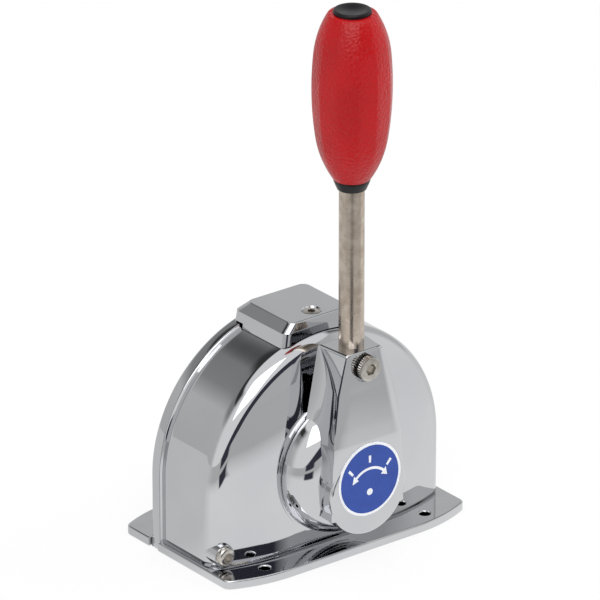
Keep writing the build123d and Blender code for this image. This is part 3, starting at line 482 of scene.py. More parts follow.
def add_piece(name: str, mesh: bpy.types.Mesh, dress: Dress) -> bpy.types.Object:
    """Put a mesh in the scene as a piece of the object.

    Args:
        name: the piece's name.
        mesh: its mesh, in metres and in place.
        dress: body, slot, finish and the CAD nodes that it stands for.

    Returns:
        The object.
    """
    piece = bpy.data.objects.new(name, mesh)
    bpy.context.scene.collection.objects.link(piece)
    mesh.materials.append(material_of(dress.finish))
    mesh.polygons.foreach_set("use_smooth", np.ones(len(mesh.polygons), bool))
    mesh.set_sharp_from_angle(angle=radians(dress.sharp_deg))
    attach(piece, dress.body.value)
    if dress.stands_for:
        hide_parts(*dress.stands_for)
    LOG.info("%s: %d faces", name, len(mesh.polygons))
    return piece


def add_wall(piece: bpy.types.Object, thickness: float) -> None:
    """Give an open skin a wall that grows inward."""
    wall = piece.modifiers.new("wall", "SOLIDIFY")
    wall.thickness = thickness * MM
    wall.offset = -1.0
    wall.use_even_offset = True


def add_flats(piece: bpy.types.Object, weight: int) -> None:
    """Keep a piece's flats flat in the shading beside its rounded edges."""
    flats = piece.modifiers.new("flats", "WEIGHTED_NORMAL")
    flats.keep_sharp = True
    flats.weight = weight


def add_edge_round(piece: bpy.types.Object, width: float, angle: float) -> None:
    """Round a piece's edges that are sharper than an angle in degrees."""
    edge = piece.modifiers.new("edge_round", "BEVEL")
    edge.width = width * MM
    edge.segments = 3
    edge.limit_method = "ANGLE"
    edge.angle_limit = radians(angle)
    edge.use_clamp_overlap = True
    edge.harden_normals = False


def cut_away(mesh: bpy.types.Mesh, cutter: bpy.types.Mesh) -> bpy.types.Mesh:
    """The mesh with the cutter's room taken out of it."""
    block = bpy.data.objects.new("block", mesh)
    tool = bpy.data.objects.new("tool", cutter)
    for piece in (block, tool):
        bpy.context.scene.collection.objects.link(piece)
    cut = block.modifiers.new("cut", "BOOLEAN")
    cut.operation = "DIFFERENCE"
    cut.solver = "EXACT"
    cut.object = tool
    bpy.context.view_layer.update()
    result = bpy.data.meshes.new_from_object(block.evaluated_get(bpy.context.evaluated_depsgraph_get()))
    result.name = mesh.name
    for piece in (block, tool):
        bpy.data.objects.remove(piece)
    return result


# The object


@dataclass
class Castings:
    """Front casting, rear cover and base plate.

    The castings' bright outsides are thin skins over the CAD walls, so they stand a hair proud.
    """

    proud: float = 0.06
    skin: float = 0.35
    corner_r: float = 9.0
    bow_r: float = 115.0
    flat_x: float = 25.0
    seat_proud: float = 0.5
    plate_gap: float = 0.12
    lip_slope: float = 0.7
    lip_round: float = 0.6
    cover_round: float = 1.6
    plate_bow_r: float = 75.0
    plate_bow_in: float = 33.6
    plate_corner_back: float = 2.5
    plate_edge: float = 0.8
    plate_flats: int = 80
    notch_depth: float = 4.9
    notch_clear: float = 0.3
    mount_x: float = 48.0
    mount_y: float = 38.0
    mount_r: float = 2.65
    outlet: tuple[float, float, float] = (42.0, -18.0, 8.0)
    outlet_corner: float = 6.0
    base_head_r: float = 4.0
    base_rear_x: float = 50.0
    bracket_hole_r: float = 2.02

    def __post_init__(self) -> None:
        """Take the places from the CAD nodes."""
        low, high = limits("housing_shell")
        self.arch_r = high[0]
        self.arch_z = high[2] - self.arch_r
        self.plate_top = low[2]
        self.front_y = low[1] + self.seat_proud
        self.split_y = high[1]
        cover_low, cover_high = limits("rear_cover")
        self.cover_r = cover_high[0]
        self.cover_y = cover_high[1]
        self.cover_foot = cover_low[2]

    def over_arch(self, profile: Array, foot: float) -> Array:
        """Carry a wall profile up one leg, over the arch and down the other leg.

        On a leg a point of radius r stands at x = r and rises; on the arch it stands at
        r cos t and arch height + r sin t; the second leg is the first at x = -r.

        Args:
            profile: rows of radius and depth.
            foot: height where the legs end.

        Returns:
            Grid of points, profile rows by sweep places by 3.
        """
        leg = np.linspace(foot, self.arch_z, 14)[:-1]
        turn = np.linspace(0.0, pi, 121)
        ones = np.ones_like(leg)
        across = np.concatenate((ones, np.cos(turn), -ones))
        rise = np.concatenate((0 * leg, np.sin(turn), 0 * leg))
        lift = np.concatenate((leg, np.full_like(turn, self.arch_z), leg[::-1]))
        radius, depth = profile[:, 0][:, None], profile[:, 1][:, None]
        return np.stack((radius * across, depth + 0 * across, lift + radius * rise), 2)

    def add_skin(self, name: str, profile: Array, foot: float) -> None:
        """Add a bright skin, its wall profile carried over the arch, with legs that end at a foot."""
        mesh = grid_mesh(name, self.over_arch(profile, foot))
        add_wall(add_piece(name, mesh, Dress(Body.HOUSING, Slot.CHROME, CHROME)), self.skin)

    def shell(self) -> None:
        """Front casting: straight side, rounded corner, bowed face and flat middle."""
        arch_r, front_y = self.arch_r + self.proud, self.front_y - self.proud
        corner_r, bow_r = self.corner_r + self.proud, self.bow_r + self.proud
        corner_x = arch_r - corner_r
        reach = bow_r - corner_r
        lean = degrees(asin((corner_x - self.flat_x) / reach))
        corner_y = front_y + bow_r - reach * cos(radians(lean))
        profile = join(
            line((arch_r, self.split_y), (arch_r, corner_y), 8),
            arc((corner_x, corner_y), corner_r, 0.0, lean - 90.0, 22),
            arc((self.flat_x, front_y + bow_r), bow_r, lean - 90.0, -90.0, 26),
            line((self.flat_x, front_y), (0.0, front_y), 8),
        )
        self.add_skin("front_casting_skin", profile, self.plate_top + self.plate_gap)

    def cover(self) -> None:
        """Rear cover: a sloped lip where it stands proud of the front casting, a band and a flat back."""
        cover_r, rear_y = self.cover_r + self.proud, self.cover_y + self.proud
        lip_y = self.split_y - self.lip_slope
        corners = (
            (self.arch_r - self.skin, lip_y),
            (self.arch_r + self.proud, lip_y),
            (cover_r, self.split_y + self.proud),
            (cover_r, rear_y),
            (0.0, rear_y),
        )
        profile = softened(corners, (0.0, self.lip_round, self.cover_round))
        back = line(profile[-2], profile[-1], 12)
        self.add_skin("rear_cover_skin", join(profile[:-1], back), self.cover_foot)

    def plate_outline(self, inset: float) -> Array:
        """Outline of the base plate, moved in by the edge that its rounding puts back.

        Front and back are straight in the middle and bow to the ends along a circle; the ends
        are straight, and notched for the cover's legs.

        Args:
            inset: how far the outline is moved in.

        Returns:
            Rows of x and y.
        """
        high = limits("base_plate")[1]
        half_x, half_y = high[0] - inset, high[1] - inset
        bow_r = self.plate_bow_r - inset
        straight_x = high[0] - self.plate_bow_in
        sweep = degrees(asin((half_x - straight_x) / bow_r))
        bow = arc((straight_x, bow_r - half_y), bow_r, -90.0, sweep - 90.0, 40)
        tip = bow[-1]
        kept = bow[np.linalg.norm(bow - tip, axis=1) > self.plate_corner_back]
        share = np.linspace(0.0, 1.0, 9)[:, None]
        quarter = join(kept, bend(kept[-1], tip, tip + (0.0, self.plate_corner_back), share))
        back = quarter[::-1] * (1.0, -1.0)
        notch_x = high[0] - self.notch_depth - inset
        notch_low = self.split_y - self.notch_clear - inset
        notch_high = self.cover_y + self.notch_clear + inset
        notch = np.array(
            [(half_x, notch_low), (notch_x, notch_low), (notch_x, notch_high), (half_x, notch_high)]
        )
        right = join(quarter, notch, back)
        return join(right, right[::-1] * (-1.0, 1.0))

    def plate_holes(self, outset: float) -> list[Array]:
        """Outlines of the mounting holes, the outlet and the screws that come up from below.

        Args:
            outset: how much wider than its hole each outline is on every side.

        Returns:
            One outline for each hole, in rows of x and y.
        """
        low, high = limits("base_screws")
        bracket_low, bracket_high = limits("bracket_screws")
        bracket_x = (bracket_low[0] + bracket_high[0]) / 2
        bracket_r = (bracket_high[0] - bracket_low[0]) / 2
        head_r = self.base_head_r
        circles = [(x * self.mount_x, y * self.mount_y, self.mount_r) for x in (-1, 1) for y in (-1, 1)]
        circles += [(x * (high[0] - head_r), low[1] + head_r, head_r) for x in (-1, 1)]
        circles += [(x * self.base_rear_x, high[1] - head_r, head_r) for x in (-1, 1)]
        bracket_ys = (bracket_low[1] + bracket_r, bracket_high[1] - bracket_r)
        circles += [(bracket_x, y, self.bracket_hole_r) for y in bracket_ys]
        holes = [circle((x, y), radius + outset, 40) for x, y, radius in circles]
        half_x, front, rear = self.outlet
        half_x, front, rear = half_x + outset, front - outset, rear + outset
        sides = ((half_x, front), (half_x, rear), (-half_x, rear), (-half_x, front))
        outlet = softened(((0.0, front), *sides, (0.0, front)), (self.outlet_corner,) * 4)[:-1]
        return holes + [outlet]

    def plate(self) -> None:
        """Base plate: its outline and holes filled as a flat curve, with a rounded edge all round."""
        low, high = limits("base_plate")
        half = (high[2] - low[2]) / 2
        flat = bpy.data.curves.new("base_plate_outline", "CURVE")
        flat.dimensions = "2D"
        flat.fill_mode = "BOTH"
        flat.extrude = (half - self.plate_edge) * MM
        flat.bevel_depth = self.plate_edge * MM
        flat.bevel_resolution = 3
        for outline in [self.plate_outline(self.plate_edge)] + self.plate_holes(self.plate_edge):
            spline = flat.splines.new("POLY")
            spline.points.add(len(outline) - 1)
            row = np.zeros((len(outline), 4))
            row[:, :2] = outline * MM
            row[:, 3] = 1.0
            spline.points.foreach_set("co", row.ravel())
            spline.use_cyclic_u = True
        shape = bpy.data.objects.new("base_plate_outline", flat)
        mesh = bpy.data.meshes.new_from_object(shape)
        bpy.data.objects.remove(shape)
        points = np.zeros(len(mesh.vertices) * 3)
        mesh.vertices.foreach_get("co", points)
        points = points.reshape(-1, 3) / MM + (0.0, 0.0, (low[2] + high[2]) / 2)
        faces = [list(face.vertices) for face in mesh.polygons]
        plate = mesh_from("chromed_base_plate", points, faces)
        dress = Dress(Body.HOUSING, Slot.CHROME, CHROME, ("base_plate",))
        add_flats(add_piece("chromed_base_plate", plate, dress), self.plate_flats)

    def build(self) -> None:
        """Build the castings' visible pieces."""
        self.shell()
        self.cover()
        self.plate()


@dataclass
class LeverCasting:
    """Arm, hub dome and lower disc of the lever.

    The arm is given by a few heights. At each of them the half section runs from the back edge
    over the scooped side to the crease, over a flat facet to the outer corner, round a soft
    chamfer to the panel's edge and along the panel to the middle.
    """

    heights: tuple[float, ...] = (26.0, 40.0, 62.0, 70.0, 88.0, 107.4)
    back_x: tuple[float, ...] = (20.5, 20.6, 20.8, 19.7, 16.1, 12.4)
    outer_x: tuple[float, ...] = (21.4, 20.9, 20.0, 18.9, 16.0, 10.5)
    outer_y: tuple[float, ...] = (-54.6, -54.5, -54.2, -53.5, -51.9, -51.4)
    panel_x: tuple[float, ...] = (13.4, 12.9, 12.0, 11.2, 9.3, 8.0)
    panel_y: tuple[float, ...] = (-55.9, -55.9, -55.6, -55.0, -53.5, -52.2)
    widest_z: float = 62.0
    crease_x: float = 12.3
    crease_y: float = -33.6
    crease_from: float = 88.0
    scoop: float = 3.2
    scoop_low: float = 60.0
    knee_share: float = 0.25
    knee_back: float = 0.1
    top_round: float = 1.1
    row_gap: float = 0.05
    edge_width: float = 0.3
    edge_angle: float = 40.0
    arm_sharp: float = 24.0
    arm_flats: int = 60
    spot_r: float = 7.2
    spot_y: float = -49.6
    spot_z: float = 99.5
    spot_out: float = 4.0
    dome_r: float = 34.0
    dome_top_r: float = 21.0
    dome_rim: float = 1.2
    dome_foot: float = 0.4
    dome_bulge: tuple[float, float] = (30.6, 8.8)
    dome_h: float = 14.2
    disc_r: float = 22.3
    disc_z: float = 37.2
    disc_sink: float = 1.0
    disc_rounds: tuple[float, float] = (0.3, 2.2)
    hub_sides: int = 128

    def __post_init__(self) -> None:
        """Take the places from the CAD nodes and the pivot's joint."""
        low, high = limits("lever_arm")
        self.back_y = high[1]
        self.front_y = low[1]
        self.top_z = high[2]
        swing = next(joint for joint in frame["joints"] if joint["name"] == "lever_swing")
        self.pivot_z = swing["pos_m"][2] / MM

    def at(self, values: Sequence[float], heights: Array) -> Array:
        """Values at the arm's heights, along straight lines between the given ones."""
        return np.interp(heights, self.heights, values)

    def section_rows(self, heights: Array) -> Array:
        """Half sections of the arm at the given heights.

        The scooped side is the straight line from back edge to crease, moved in by
        scoop * 4 s (1 - s), where s is the share of the way and the scoop fades out below.
        The chamfer is the quadratic curve from the outer corner to the panel's edge.

        Args:
            heights: the rows' heights.

        Returns:
            Grid of rows by points by (half width, depth).
        """
        back = np.stack((self.at(self.back_x, heights), np.full_like(heights, self.back_y)), 1)
        outer = np.stack((self.at(self.outer_x, heights), self.at(self.outer_y, heights)), 1)
        panel = np.stack((self.at(self.panel_x, heights), self.at(self.panel_y, heights)), 1)
        up = np.clip((heights - self.crease_from) / (self.top_z - self.crease_from), 0.0, 1.0)[:, None]
        crease_top = np.array((self.crease_x, self.crease_y))
        crease = np.where(up > 0, outer * (1 - up) + crease_top * up, outer)
        fade = np.clip((heights - self.scoop_low) / (self.crease_from - self.scoop_low), 0.0, 1.0)
        depth = self.scoop * np.sin(fade * pi / 2) * (1 - up[:, 0])
        knee_x = outer[:, 0] - self.knee_share * (outer[:, 0] - panel[:, 0])
        knee = np.stack((knee_x, panel[:, 1] + self.knee_back), 1)

        share = np.linspace(0.0, 1.0, 14)[None, :, None]
        side = back[:, None] * (1 - share) + crease[:, None] * share
        side[:, :, 0] -= depth[:, None] * 4 * share[0, :, 0] * (1 - share[0, :, 0])
        share = np.linspace(0.0, 1.0, 7)[None, 1:, None]
        facet = crease[:, None] * (1 - share) + outer[:, None] * share
        share = np.linspace(0.0, 1.0, 10)[None, 1:, None]
        chamfer = bend(outer[:, None], knee[:, None], panel[:, None], share)
        share = np.linspace(0.0, 1.0, 6)[None, 1:, None]
        middle = panel * (0.0, 1.0)
        flat = panel[:, None] * (1 - share) + middle[:, None] * share
        return np.concatenate((side, facet, chamfer, flat), 1)

    def arm_grid(self) -> Array:
        """Rows of whole sections up the arm, each mirrored from its half.

        Above the last height the section draws in by top_round * (1 - cos t) and rises by
        top_round * sin t, as t goes from 0 to a quarter turn, so that the top edge is round.
        """
        spans = ((self.heights[0], self.widest_z, 10), (self.widest_z, self.crease_from, 22))
        rows = [np.linspace(start, end, count)[:-1] for start, end, count in spans]
        heights = np.concatenate((*rows, np.linspace(self.crease_from, self.top_z, 18)))
        half = self.section_rows(heights)
        lift = np.repeat(heights[:, None], half.shape[1], 1)
        turn = np.linspace(0.0, pi / 2, 6)[:, None, None]
        middle = np.array((0.0, (self.back_y + self.front_y) / 2))
        inset = self.top_round * (1 - np.cos(turn)) * np.sign(half[-1:] - middle)
        inset = inset * np.minimum(1.0, np.abs(half[-1:] - middle) / (2 * self.top_round))
        half = np.concatenate((half[:-1], half[-1:] - inset))
        top = self.top_z - self.top_round * (1 - np.sin(turn[:, :, 0]))
        below = np.minimum(lift[:-1], top[0] - self.row_gap)
        lift = np.concatenate((below, np.repeat(top, half.shape[1], 1)))
        left = np.stack((-half[:, :, 0], half[:, :, 1], lift), 2)
        right = np.stack((half[:, :, 0], half[:, :, 1], lift), 2)[:, ::-1][:, 1:]
        return np.concatenate((left, right), 1)

    def arm(self) -> None:
        """Arm: its sections skinned and closed, with the spot-face of the clamp screw cut in."""
        mesh = grid_mesh("lever_arm_casting", self.arm_grid(), True, True)
        out_y = self.front_y - self.spot_out
        spot = np.array([(0.0, self.spot_y), (self.spot_r, self.spot_y), (self.spot_r, out_y), (0.0, out_y)])
        cutter = grid_mesh("spot_face", turned(spot, Facing.FRONT, (0.0, self.spot_z), 64), True)
        dress = Dress(Body.LEVER, Slot.CHROME, CHROME, ("lever_arm",), self.arm_sharp)
        piece = add_piece("lever_arm_casting", cut_away(mesh, cutter), dress)
        add_edge_round(piece, self.edge_width, self.edge_angle)
        add_flats(piece, self.arm_flats)

    def add_round(self, name: str, profile: Array, centre_z: float) -> None:
        """Add a bright piece of the hub, turned round an axis along Y."""
        grid = turned(profile, Facing.FRONT, (0.0, centre_z), self.hub_sides)
        add_piece(name, grid_mesh(name, grid, True), Dress(Body.LEVER, Slot.CHROME, CHROME))

    def dome(self) -> None:
        """Hub dome: a rim, a shoulder along a circle through three points, and a flat top."""
        start = np.array((self.dome_r, self.back_y - self.dome_rim))
        via = np.array((self.dome_bulge[0], self.back_y - self.dome_bulge[1]))
        end = np.array((self.dome_top_r, self.back_y - self.dome_h))
        profile = join(
            line((0.0, self.back_y), (self.dome_r - self.dome_foot, self.back_y), 4),
            line((self.dome_r, self.back_y - self.dome_foot), start, 3),
            through(start, via, end, 26),
            line(end, (0.0, end[1]), 8),
        )
        self.add_round("hub_dome", profile, self.pivot_z)

    def disc(self) -> None:
        """Lower disc with a soft front edge, which carries the label."""
        rear = self.back_y - self.dome_h + self.disc_sink
        corners = ((0.0, rear), (self.disc_r, rear), (self.disc_r, self.front_y), (0.0, self.front_y))
        self.add_round("hub_lower_disc", softened(corners, self.disc_rounds), self.disc_z)

    def build(self) -> None:
        """Build the lever's casting."""
        self.arm()
        self.dome()
        self.disc()


@dataclass
class RodAndGrip:
    """Bar, collar, barrel grip and its dished cap, all turned round the bar's axis."""

    sides: int = 192
    bar_chamfer: float = 0.5
    flare_r: float = 13.5
    flare_at: float = 0.105
    waist_r: float = 17.15
    waist_at: float = 0.267
    shoulder_r: float = 18.15
    shoulder_at: float = 0.75
    head_r: float = 11.9
    head_edge: float = 1.0
    head_in: float = 0.7
    head_round: float = 0.5
    foot_r: float = 8.8
    foot_edge: float = 0.4
    seat_in: float = 0.1
    seat_depth: float = 1.0
    flutes: int = 12
    flute_depth: float = 0.022
    grip_sharp: float = 50.0
    cap_rim: float = 1.7
    cap_dish: float = 1.0
    cap_seat: float = 0.6
    cap_rounds: tuple[float, float] = (0.2, 0.9)
    dish_power: float = 1.2
    collar_foot_r: float = 6.9
    collar_in: float = 0.2
    collar_band: float = 0.8
    collar_rounds: tuple[float, float, float] = (0.3, 0.8, 0.2)

    def __post_init__(self) -> None:
        """Take the bar's axis from its CAD node."""
        low, high = limits("lever_rod")
        self.centre = (0.0, (low[1] + high[1]) / 2)
        self.rod_r = high[0]
        self.rod_low, self.rod_high = low[2], high[2]

    def add_turned(self, name: str, profile: Array, dress: Dress, swell: Array | None = None) -> None:
        """Turn a profile round the bar's axis and add it as a piece."""
        grid = turned(profile, Facing.UP, self.centre, self.sides, swell)
        add_piece(name, grid_mesh(name, grid, True), dress)

    def rod(self) -> None:
        """Plain round bar with chamfered ends."""
        low, high = self.rod_low, self.rod_high
        corners = ((0.0, low), (self.rod_r, low), (self.rod_r, high), (0.0, high))
        profile = softened(corners, (self.bar_chamfer,) * 2, 4)
        self.add_turned("ground_bar", profile, Dress(Body.LEVER, Slot.BAR, BAR, ("lever_rod",)))

    def grip(self) -> None:
        """Barrel grip: three arcs turned round the bar, with shallow flutes that fade at both ends.

        The radius is scaled by 1 - depth * |sin(n t / 2)| * sin(pi h), where t is the angle,
        n the number of flutes and h the share of the height.
        """
        low, high = limits("grip")
        length = high[2] - low[2]
        foot = np.array((self.foot_r, low[2]))
        swelling = np.array((self.flare_r, low[2] + self.flare_at * length))
        waist = np.array((self.waist_r, low[2] + self.waist_at * length))
        widest = np.array((self.shoulder_r, low[2] + self.shoulder_at * length))
        head = np.array((self.head_r, high[2] - self.head_edge))
        flare = through(foot, swelling, waist, 20)
        belly, heading = tangent_arc(flare[-1], flare[-1] - flare[-2], widest, 36)
        shoulder = tangent_arc(belly[-1], heading, head, 24)[0]
        cap_r = limits("grip_cap")[1][0]
        rim = (head, (self.head_r - self.head_in, high[2]), (cap_r, high[2]))
        seat_z = high[2] - self.seat_depth
        profile = join(
            np.array([(self.rod_r, low[2]), (self.foot_r - self.foot_edge, low[2])]),
            flare,
            belly,
            shoulder,
            softened(rim, (self.head_round,), 5),
            np.array([(cap_r - self.seat_in, seat_z), (0.0, seat_z)]),
        )
        share = np.clip((profile[:, 1] - low[2]) / length, 0.0, 1.0)[:, None]
        swell = ripples(self.sides, self.flutes, self.flute_depth * np.sin(pi * share))
        dress = Dress(Body.LEVER, Slot.RED, GRIP_RED, ("grip",), self.grip_sharp)
        self.add_turned("barrel_grip", profile, dress, swell)

    def cap(self) -> None:
        """Cap: a rounded rim round a shallow dish, which sinks by dish * cos(t)^p from rim to middle."""
        low, high = limits("grip_cap")
        dish_r = high[0] - self.cap_rim
        foot = limits("grip")[1][2] - self.cap_seat
        sink = self.cap_dish * np.cos(np.linspace(pi / 2, 0.0, 14)) ** self.dish_power
        rim = ((0.0, foot), (high[0], foot), (high[0], high[2]), (dish_r, high[2]))
        dish = np.stack((np.linspace(dish_r, 0.0, 14), high[2] - sink), 1)
        dress = Dress(Body.LEVER, Slot.BLACK, CAP_BLACK, ("grip_cap",))
        self.add_turned("dished_cap", join(softened(rim, self.cap_rounds), dish), dress)

    def collar(self) -> None:
        """Tapered collar under the grip, closed round its bore."""
        low, high = limits("grip_collar")
        bore_r = self.rod_r - self.collar_in
        corners = (
            (bore_r, low[2]),
            (self.collar_foot_r, low[2]),
            (high[0], high[2] - self.collar_band),
            (high[0], high[2]),
            (bore_r, high[2]),
        )
        profile = softened(corners, self.collar_rounds)
        closed = np.concatenate((profile, profile[:1]))
        dress = Dress(Body.LEVER, Slot.BLACK, CAP_BLACK, ("grip_collar",))
        self.add_turned("grip_foot_collar", closed, dress)

    def build(self) -> None:
        """Build bar, grip, cap and collar."""
        self.rod()
        self.grip()
        self.cap()
        self.collar()


@dataclass
class Label:
    """Blue field and generic print of the round label: a curved double arrow over a pivot dot."""

    border: float = 1.3
    film: float = 0.06
    film_depth: float = 0.2
    pivot_drop: float = 6.5
    pivot_r: float = 1.7
    arrow_r: float = 12.0
    arrow_width: float = 1.3
    arrow_deg: float = 42.0
    head_deg: float = 17.0
    head_half: float = 2.1
    tick_in: float = 15.0
    tick_out: float = 18.6
    tick_half_deg: float = 2.2

    def __post_init__(self) -> None:
        """Take the label's centre, radius and front from its CAD node."""
        low, high = limits("label_disc")
        self.field_r = high[0] - self.border
        self.centre_z = (low[2] + high[2]) / 2
        self.front_y = low[1]

    def film_on(self, name: str, outline: Array, level: int, finish: Finish) -> None:
        """Raise a flat outline of (x, z) from the label's front by one film for each level.

        Args:
            name: the piece's name.
            outline: the outline's points, centred on the label.
            level: how many films its front stands proud.
            finish: its finish.
        """
        count = len(outline)
        front = np.full(count, self.front_y - level * self.film)
        depths = (front, front + self.film_depth)
        rows = [np.stack((outline[:, 0], y, outline[:, 1] + self.centre_z), 1) for y in depths]
        index = np.arange(count)
        after = np.roll(index, -1)
        sides = np.stack((index, after, after + count, index + count), 1).tolist()
        mesh = mesh_from(name, np.concatenate(rows), sides + [index.tolist(), (index + count).tolist()])
        add_piece(name, mesh, Dress(Body.LEVER, Slot.LABEL, finish))

    def arrow(self, pivot: tuple[float, float], start: float, end: float) -> Array:
        """Outline of the double arrow, a band on a circle round the pivot with a head at both ends."""
        outer, inner = self.arrow_r + self.arrow_width / 2, self.arrow_r - self.arrow_width / 2
        barbs = (self.arrow_r + self.head_half, self.arrow_r - self.head_half)
        far = ((barbs[0], end), (self.arrow_r, end + self.head_deg), (barbs[1], end))
        near = ((barbs[1], start), (self.arrow_r, start - self.head_deg), (barbs[0], start))
        heads = [[arc(pivot, radius, turn, turn, 1) for radius, turn in head] for head in (far, near)]
        bands = arc(pivot, outer, start, end, 25), arc(pivot, inner, end, start, 25)
        return np.concatenate((bands[0], *heads[0], bands[1], *heads[1]))

    def build(self) -> None:
        """Build the field, the pivot dot, the double arrow and three ticks."""
        pivot = (0.0, -self.pivot_drop)
        start, end = 90.0 - self.arrow_deg, 90.0 + self.arrow_deg
        self.film_on("label_blue_field", circle((0.0, 0.0), self.field_r, 96), 1, LABEL_BLUE)
        self.film_on("label_pivot_dot", circle(pivot, self.pivot_r, 32), 2, LABEL_WHITE)
        self.film_on("label_double_arrow", self.arrow(pivot, start, end), 2, LABEL_WHITE)
        for name, turn in (("left", end), ("middle", 90.0), ("right", start)):
            low, high = turn - self.tick_half_deg, turn + self.tick_half_deg
            outer = arc(pivot, self.tick_out, low, high, 2)
            inner = arc(pivot, self.tick_in, high, low, 2)
            self.film_on("label_tick_" + name, np.concatenate((outer, inner)), 2, LABEL_WHITE)


@dataclass
class Screws:
    """Heads of the screws that show, each with a hexagon socket given by its corner's radius and depth."""

    clamp_r: float = 6.0
    clamp_seat_y: float = -49.6
    clamp_short: float = 0.8
    clamp_rounds: tuple[float, float] = (0.3, 0.9)
    clamp_ribs: int = 36
    rib_depth: float = 0.04
    rib_band: float = 0.2
    clamp_socket: tuple[float, float] = (3.0, 3.6)
    button_h: float = 2.9
    button_rounds: tuple[float, float] = (0.1, 2.3)
    button_socket: tuple[float, float] = (2.3, 1.9)
    crown_r: float = 4.75
    crown_foot_r: float = 1.2
    crown_cone_h: float = 3.6
    crown_rim: float = 1.0
    crown_bevel: tuple[float, float] = (0.6, 0.3)
    crown_rounds: tuple[float, float, float] = (0.1, 0.3, 0.5)
    crown_socket: tuple[float, float] = (2.0, 2.2)
    crown_sink: float = 0.15
    socket_out: float = 0.5
    sides: int = 64
    sharp: float = 35.0

    def head(
        self, name: str, profile: Array, facing: Facing, centre: Sequence[float], socket: tuple[float, float],
        stands_for: str, body: Body, swell: Array | None = None,
    ) -> None:
        """Turn a head, cut its hexagon socket and put it in place of its CAD node.

        Args:
            name: the piece's name.
            profile: rows of radius and place, which end at the socket's mouth.
            facing: the way that the head looks.
            centre: the axis' two coordinates.
            socket: radius to the hexagon's corners, and depth.
            stands_for: the CAD node.
            body: the body that it rides on.
            swell: factor on the radius for each row and side, or nothing.
        """
        radius, depth = socket
        sides = self.sides if swell is None else swell.shape[1]
        outward = -1 if facing is Facing.FRONT else 1
        mouth = profile[-1][1] + outward * self.socket_out
        floor = profile[-1][1] - outward * depth
        rows = np.array([(0.0, mouth), (radius, mouth), (radius, floor), (0.0, floor)])
        block = grid_mesh(name, turned(profile, facing, centre, sides, swell), True)
        cutter = grid_mesh("socket", turned(rows, facing, centre, 6), True)
        dress = Dress(body, Slot.BRIGHT_STEEL, BRIGHT_STEEL, (stands_for,), self.sharp)
        add_piece(name, cut_away(block, cutter), dress)

    def clamp(self) -> None:
        """Cap head with a ribbed side: the radius is scaled by 1 - depth |sin(n t / 2)| there."""
        low, high = limits("clamp_screw")
        centre = (0.0, (low[2] + high[2]) / 2)
        seat, front = self.clamp_seat_y, low[1] + self.clamp_short
        corners = ((0.0, seat), (self.clamp_r, seat), (self.clamp_r, front), (0.0, front))
        profile = softened(corners, self.clamp_rounds)
        ribbed = (profile[:, 0] > self.clamp_r - self.rib_band)[:, None]
        swell = ripples(self.clamp_ribs * 6, self.clamp_ribs, self.rib_depth * ribbed)
        self.head(
            "ribbed_clamp_head", profile, Facing.FRONT, centre, self.clamp_socket,
            "clamp_screw", Body.LEVER, swell,
        )

    def corner(self) -> None:
        """Button head at the foot of the front."""
        low, high = limits("corner_screw")
        radius = (high[0] - low[0]) / 2
        centre = (low[0] + radius, (low[2] + high[2]) / 2)
        seat, front = low[1] + self.button_h, low[1]
        profile = softened(((0.0, seat), (radius, seat), (radius, front), (0.0, front)), self.button_rounds)
        self.head(
            "button_corner_head", profile, Facing.FRONT, centre, self.button_socket,
            "corner_screw", Body.HOUSING,
        )

    def crown(self) -> None:
        """Countersunk head in the crown block, with a soft rim."""
        low, high = limits("crown_screw")
        centre = (0.0, (low[1] + high[1]) / 2)
        top = high[2] - self.crown_sink
        foot = top - self.crown_cone_h
        bevel_r, bevel_z = self.crown_r - self.crown_bevel[0], top - self.crown_bevel[1]
        corners = (
            (0.0, foot),
            (self.crown_foot_r, foot),
            (self.crown_r, top - self.crown_rim),
            (bevel_r, bevel_z),
            (0.0, top),
        )
        profile = softened(corners, self.crown_rounds)
        self.head(
            "countersunk_crown_head", profile, Facing.UP, centre, self.crown_socket,
            "crown_screw", Body.HOUSING,
        )

    def build(self) -> None:
        """Build the three heads."""
        self.clamp()
        self.corner()
        self.crown()


@dataclass
class Mechanism:
    """The finish of each CAD node, also of those that finer pieces stand in for."""

    plated: tuple[str, ...] = ("housing_shell", "crown_block", "lever_arm", "base_plate")
    bright: tuple[str, ...] = (
        "pivot_shaft", "stop_pins", "clamp_screw", "crown_screw", "corner_screw", "hub_bolt", "wire_anchor",
        "lever_key", "crank_key", "grip_bolt",
    )
    zinced: tuple[str, ...] = (
        "crank_arm", "friction_drum", "cable_bracket", "bracket_screws", "cable_adjuster", "adjuster_nuts",
        "base_screws", "spacer_sleeve", "shaft_circlip", "anchor_clip", "anchor_screw", "friction_screw",
        "friction_spring", "hub_washer", "grip_washer",
    )

    def build(self) -> None:
        """Give every CAD node its finish."""
        finishes = {
            CAST_CHROME: ("rear_cover",),
            CHROME: self.plated,
            BRIGHT_STEEL: self.bright,
            ZINC_STEEL: self.zinced,
            BRONZE: ("front_bush", "rear_bush"),
            RUBBER: ("hub_seal",),
            LINING: ("friction_shoe",),
            LABEL_WHITE: ("label_disc",),
            BAR: ("lever_rod",),
            GRIP_RED: ("grip",),
            CAP_BLACK: ("grip_cap", "grip_collar"),
        }
        for finish, names in finishes.items():
            for name in names:
                slots = frame["nodes"][name].data.materials
                slots.clear()
                slots.append(material_of(finish))
                LOG.info("%s: %s", name, finish.name)


# The studio


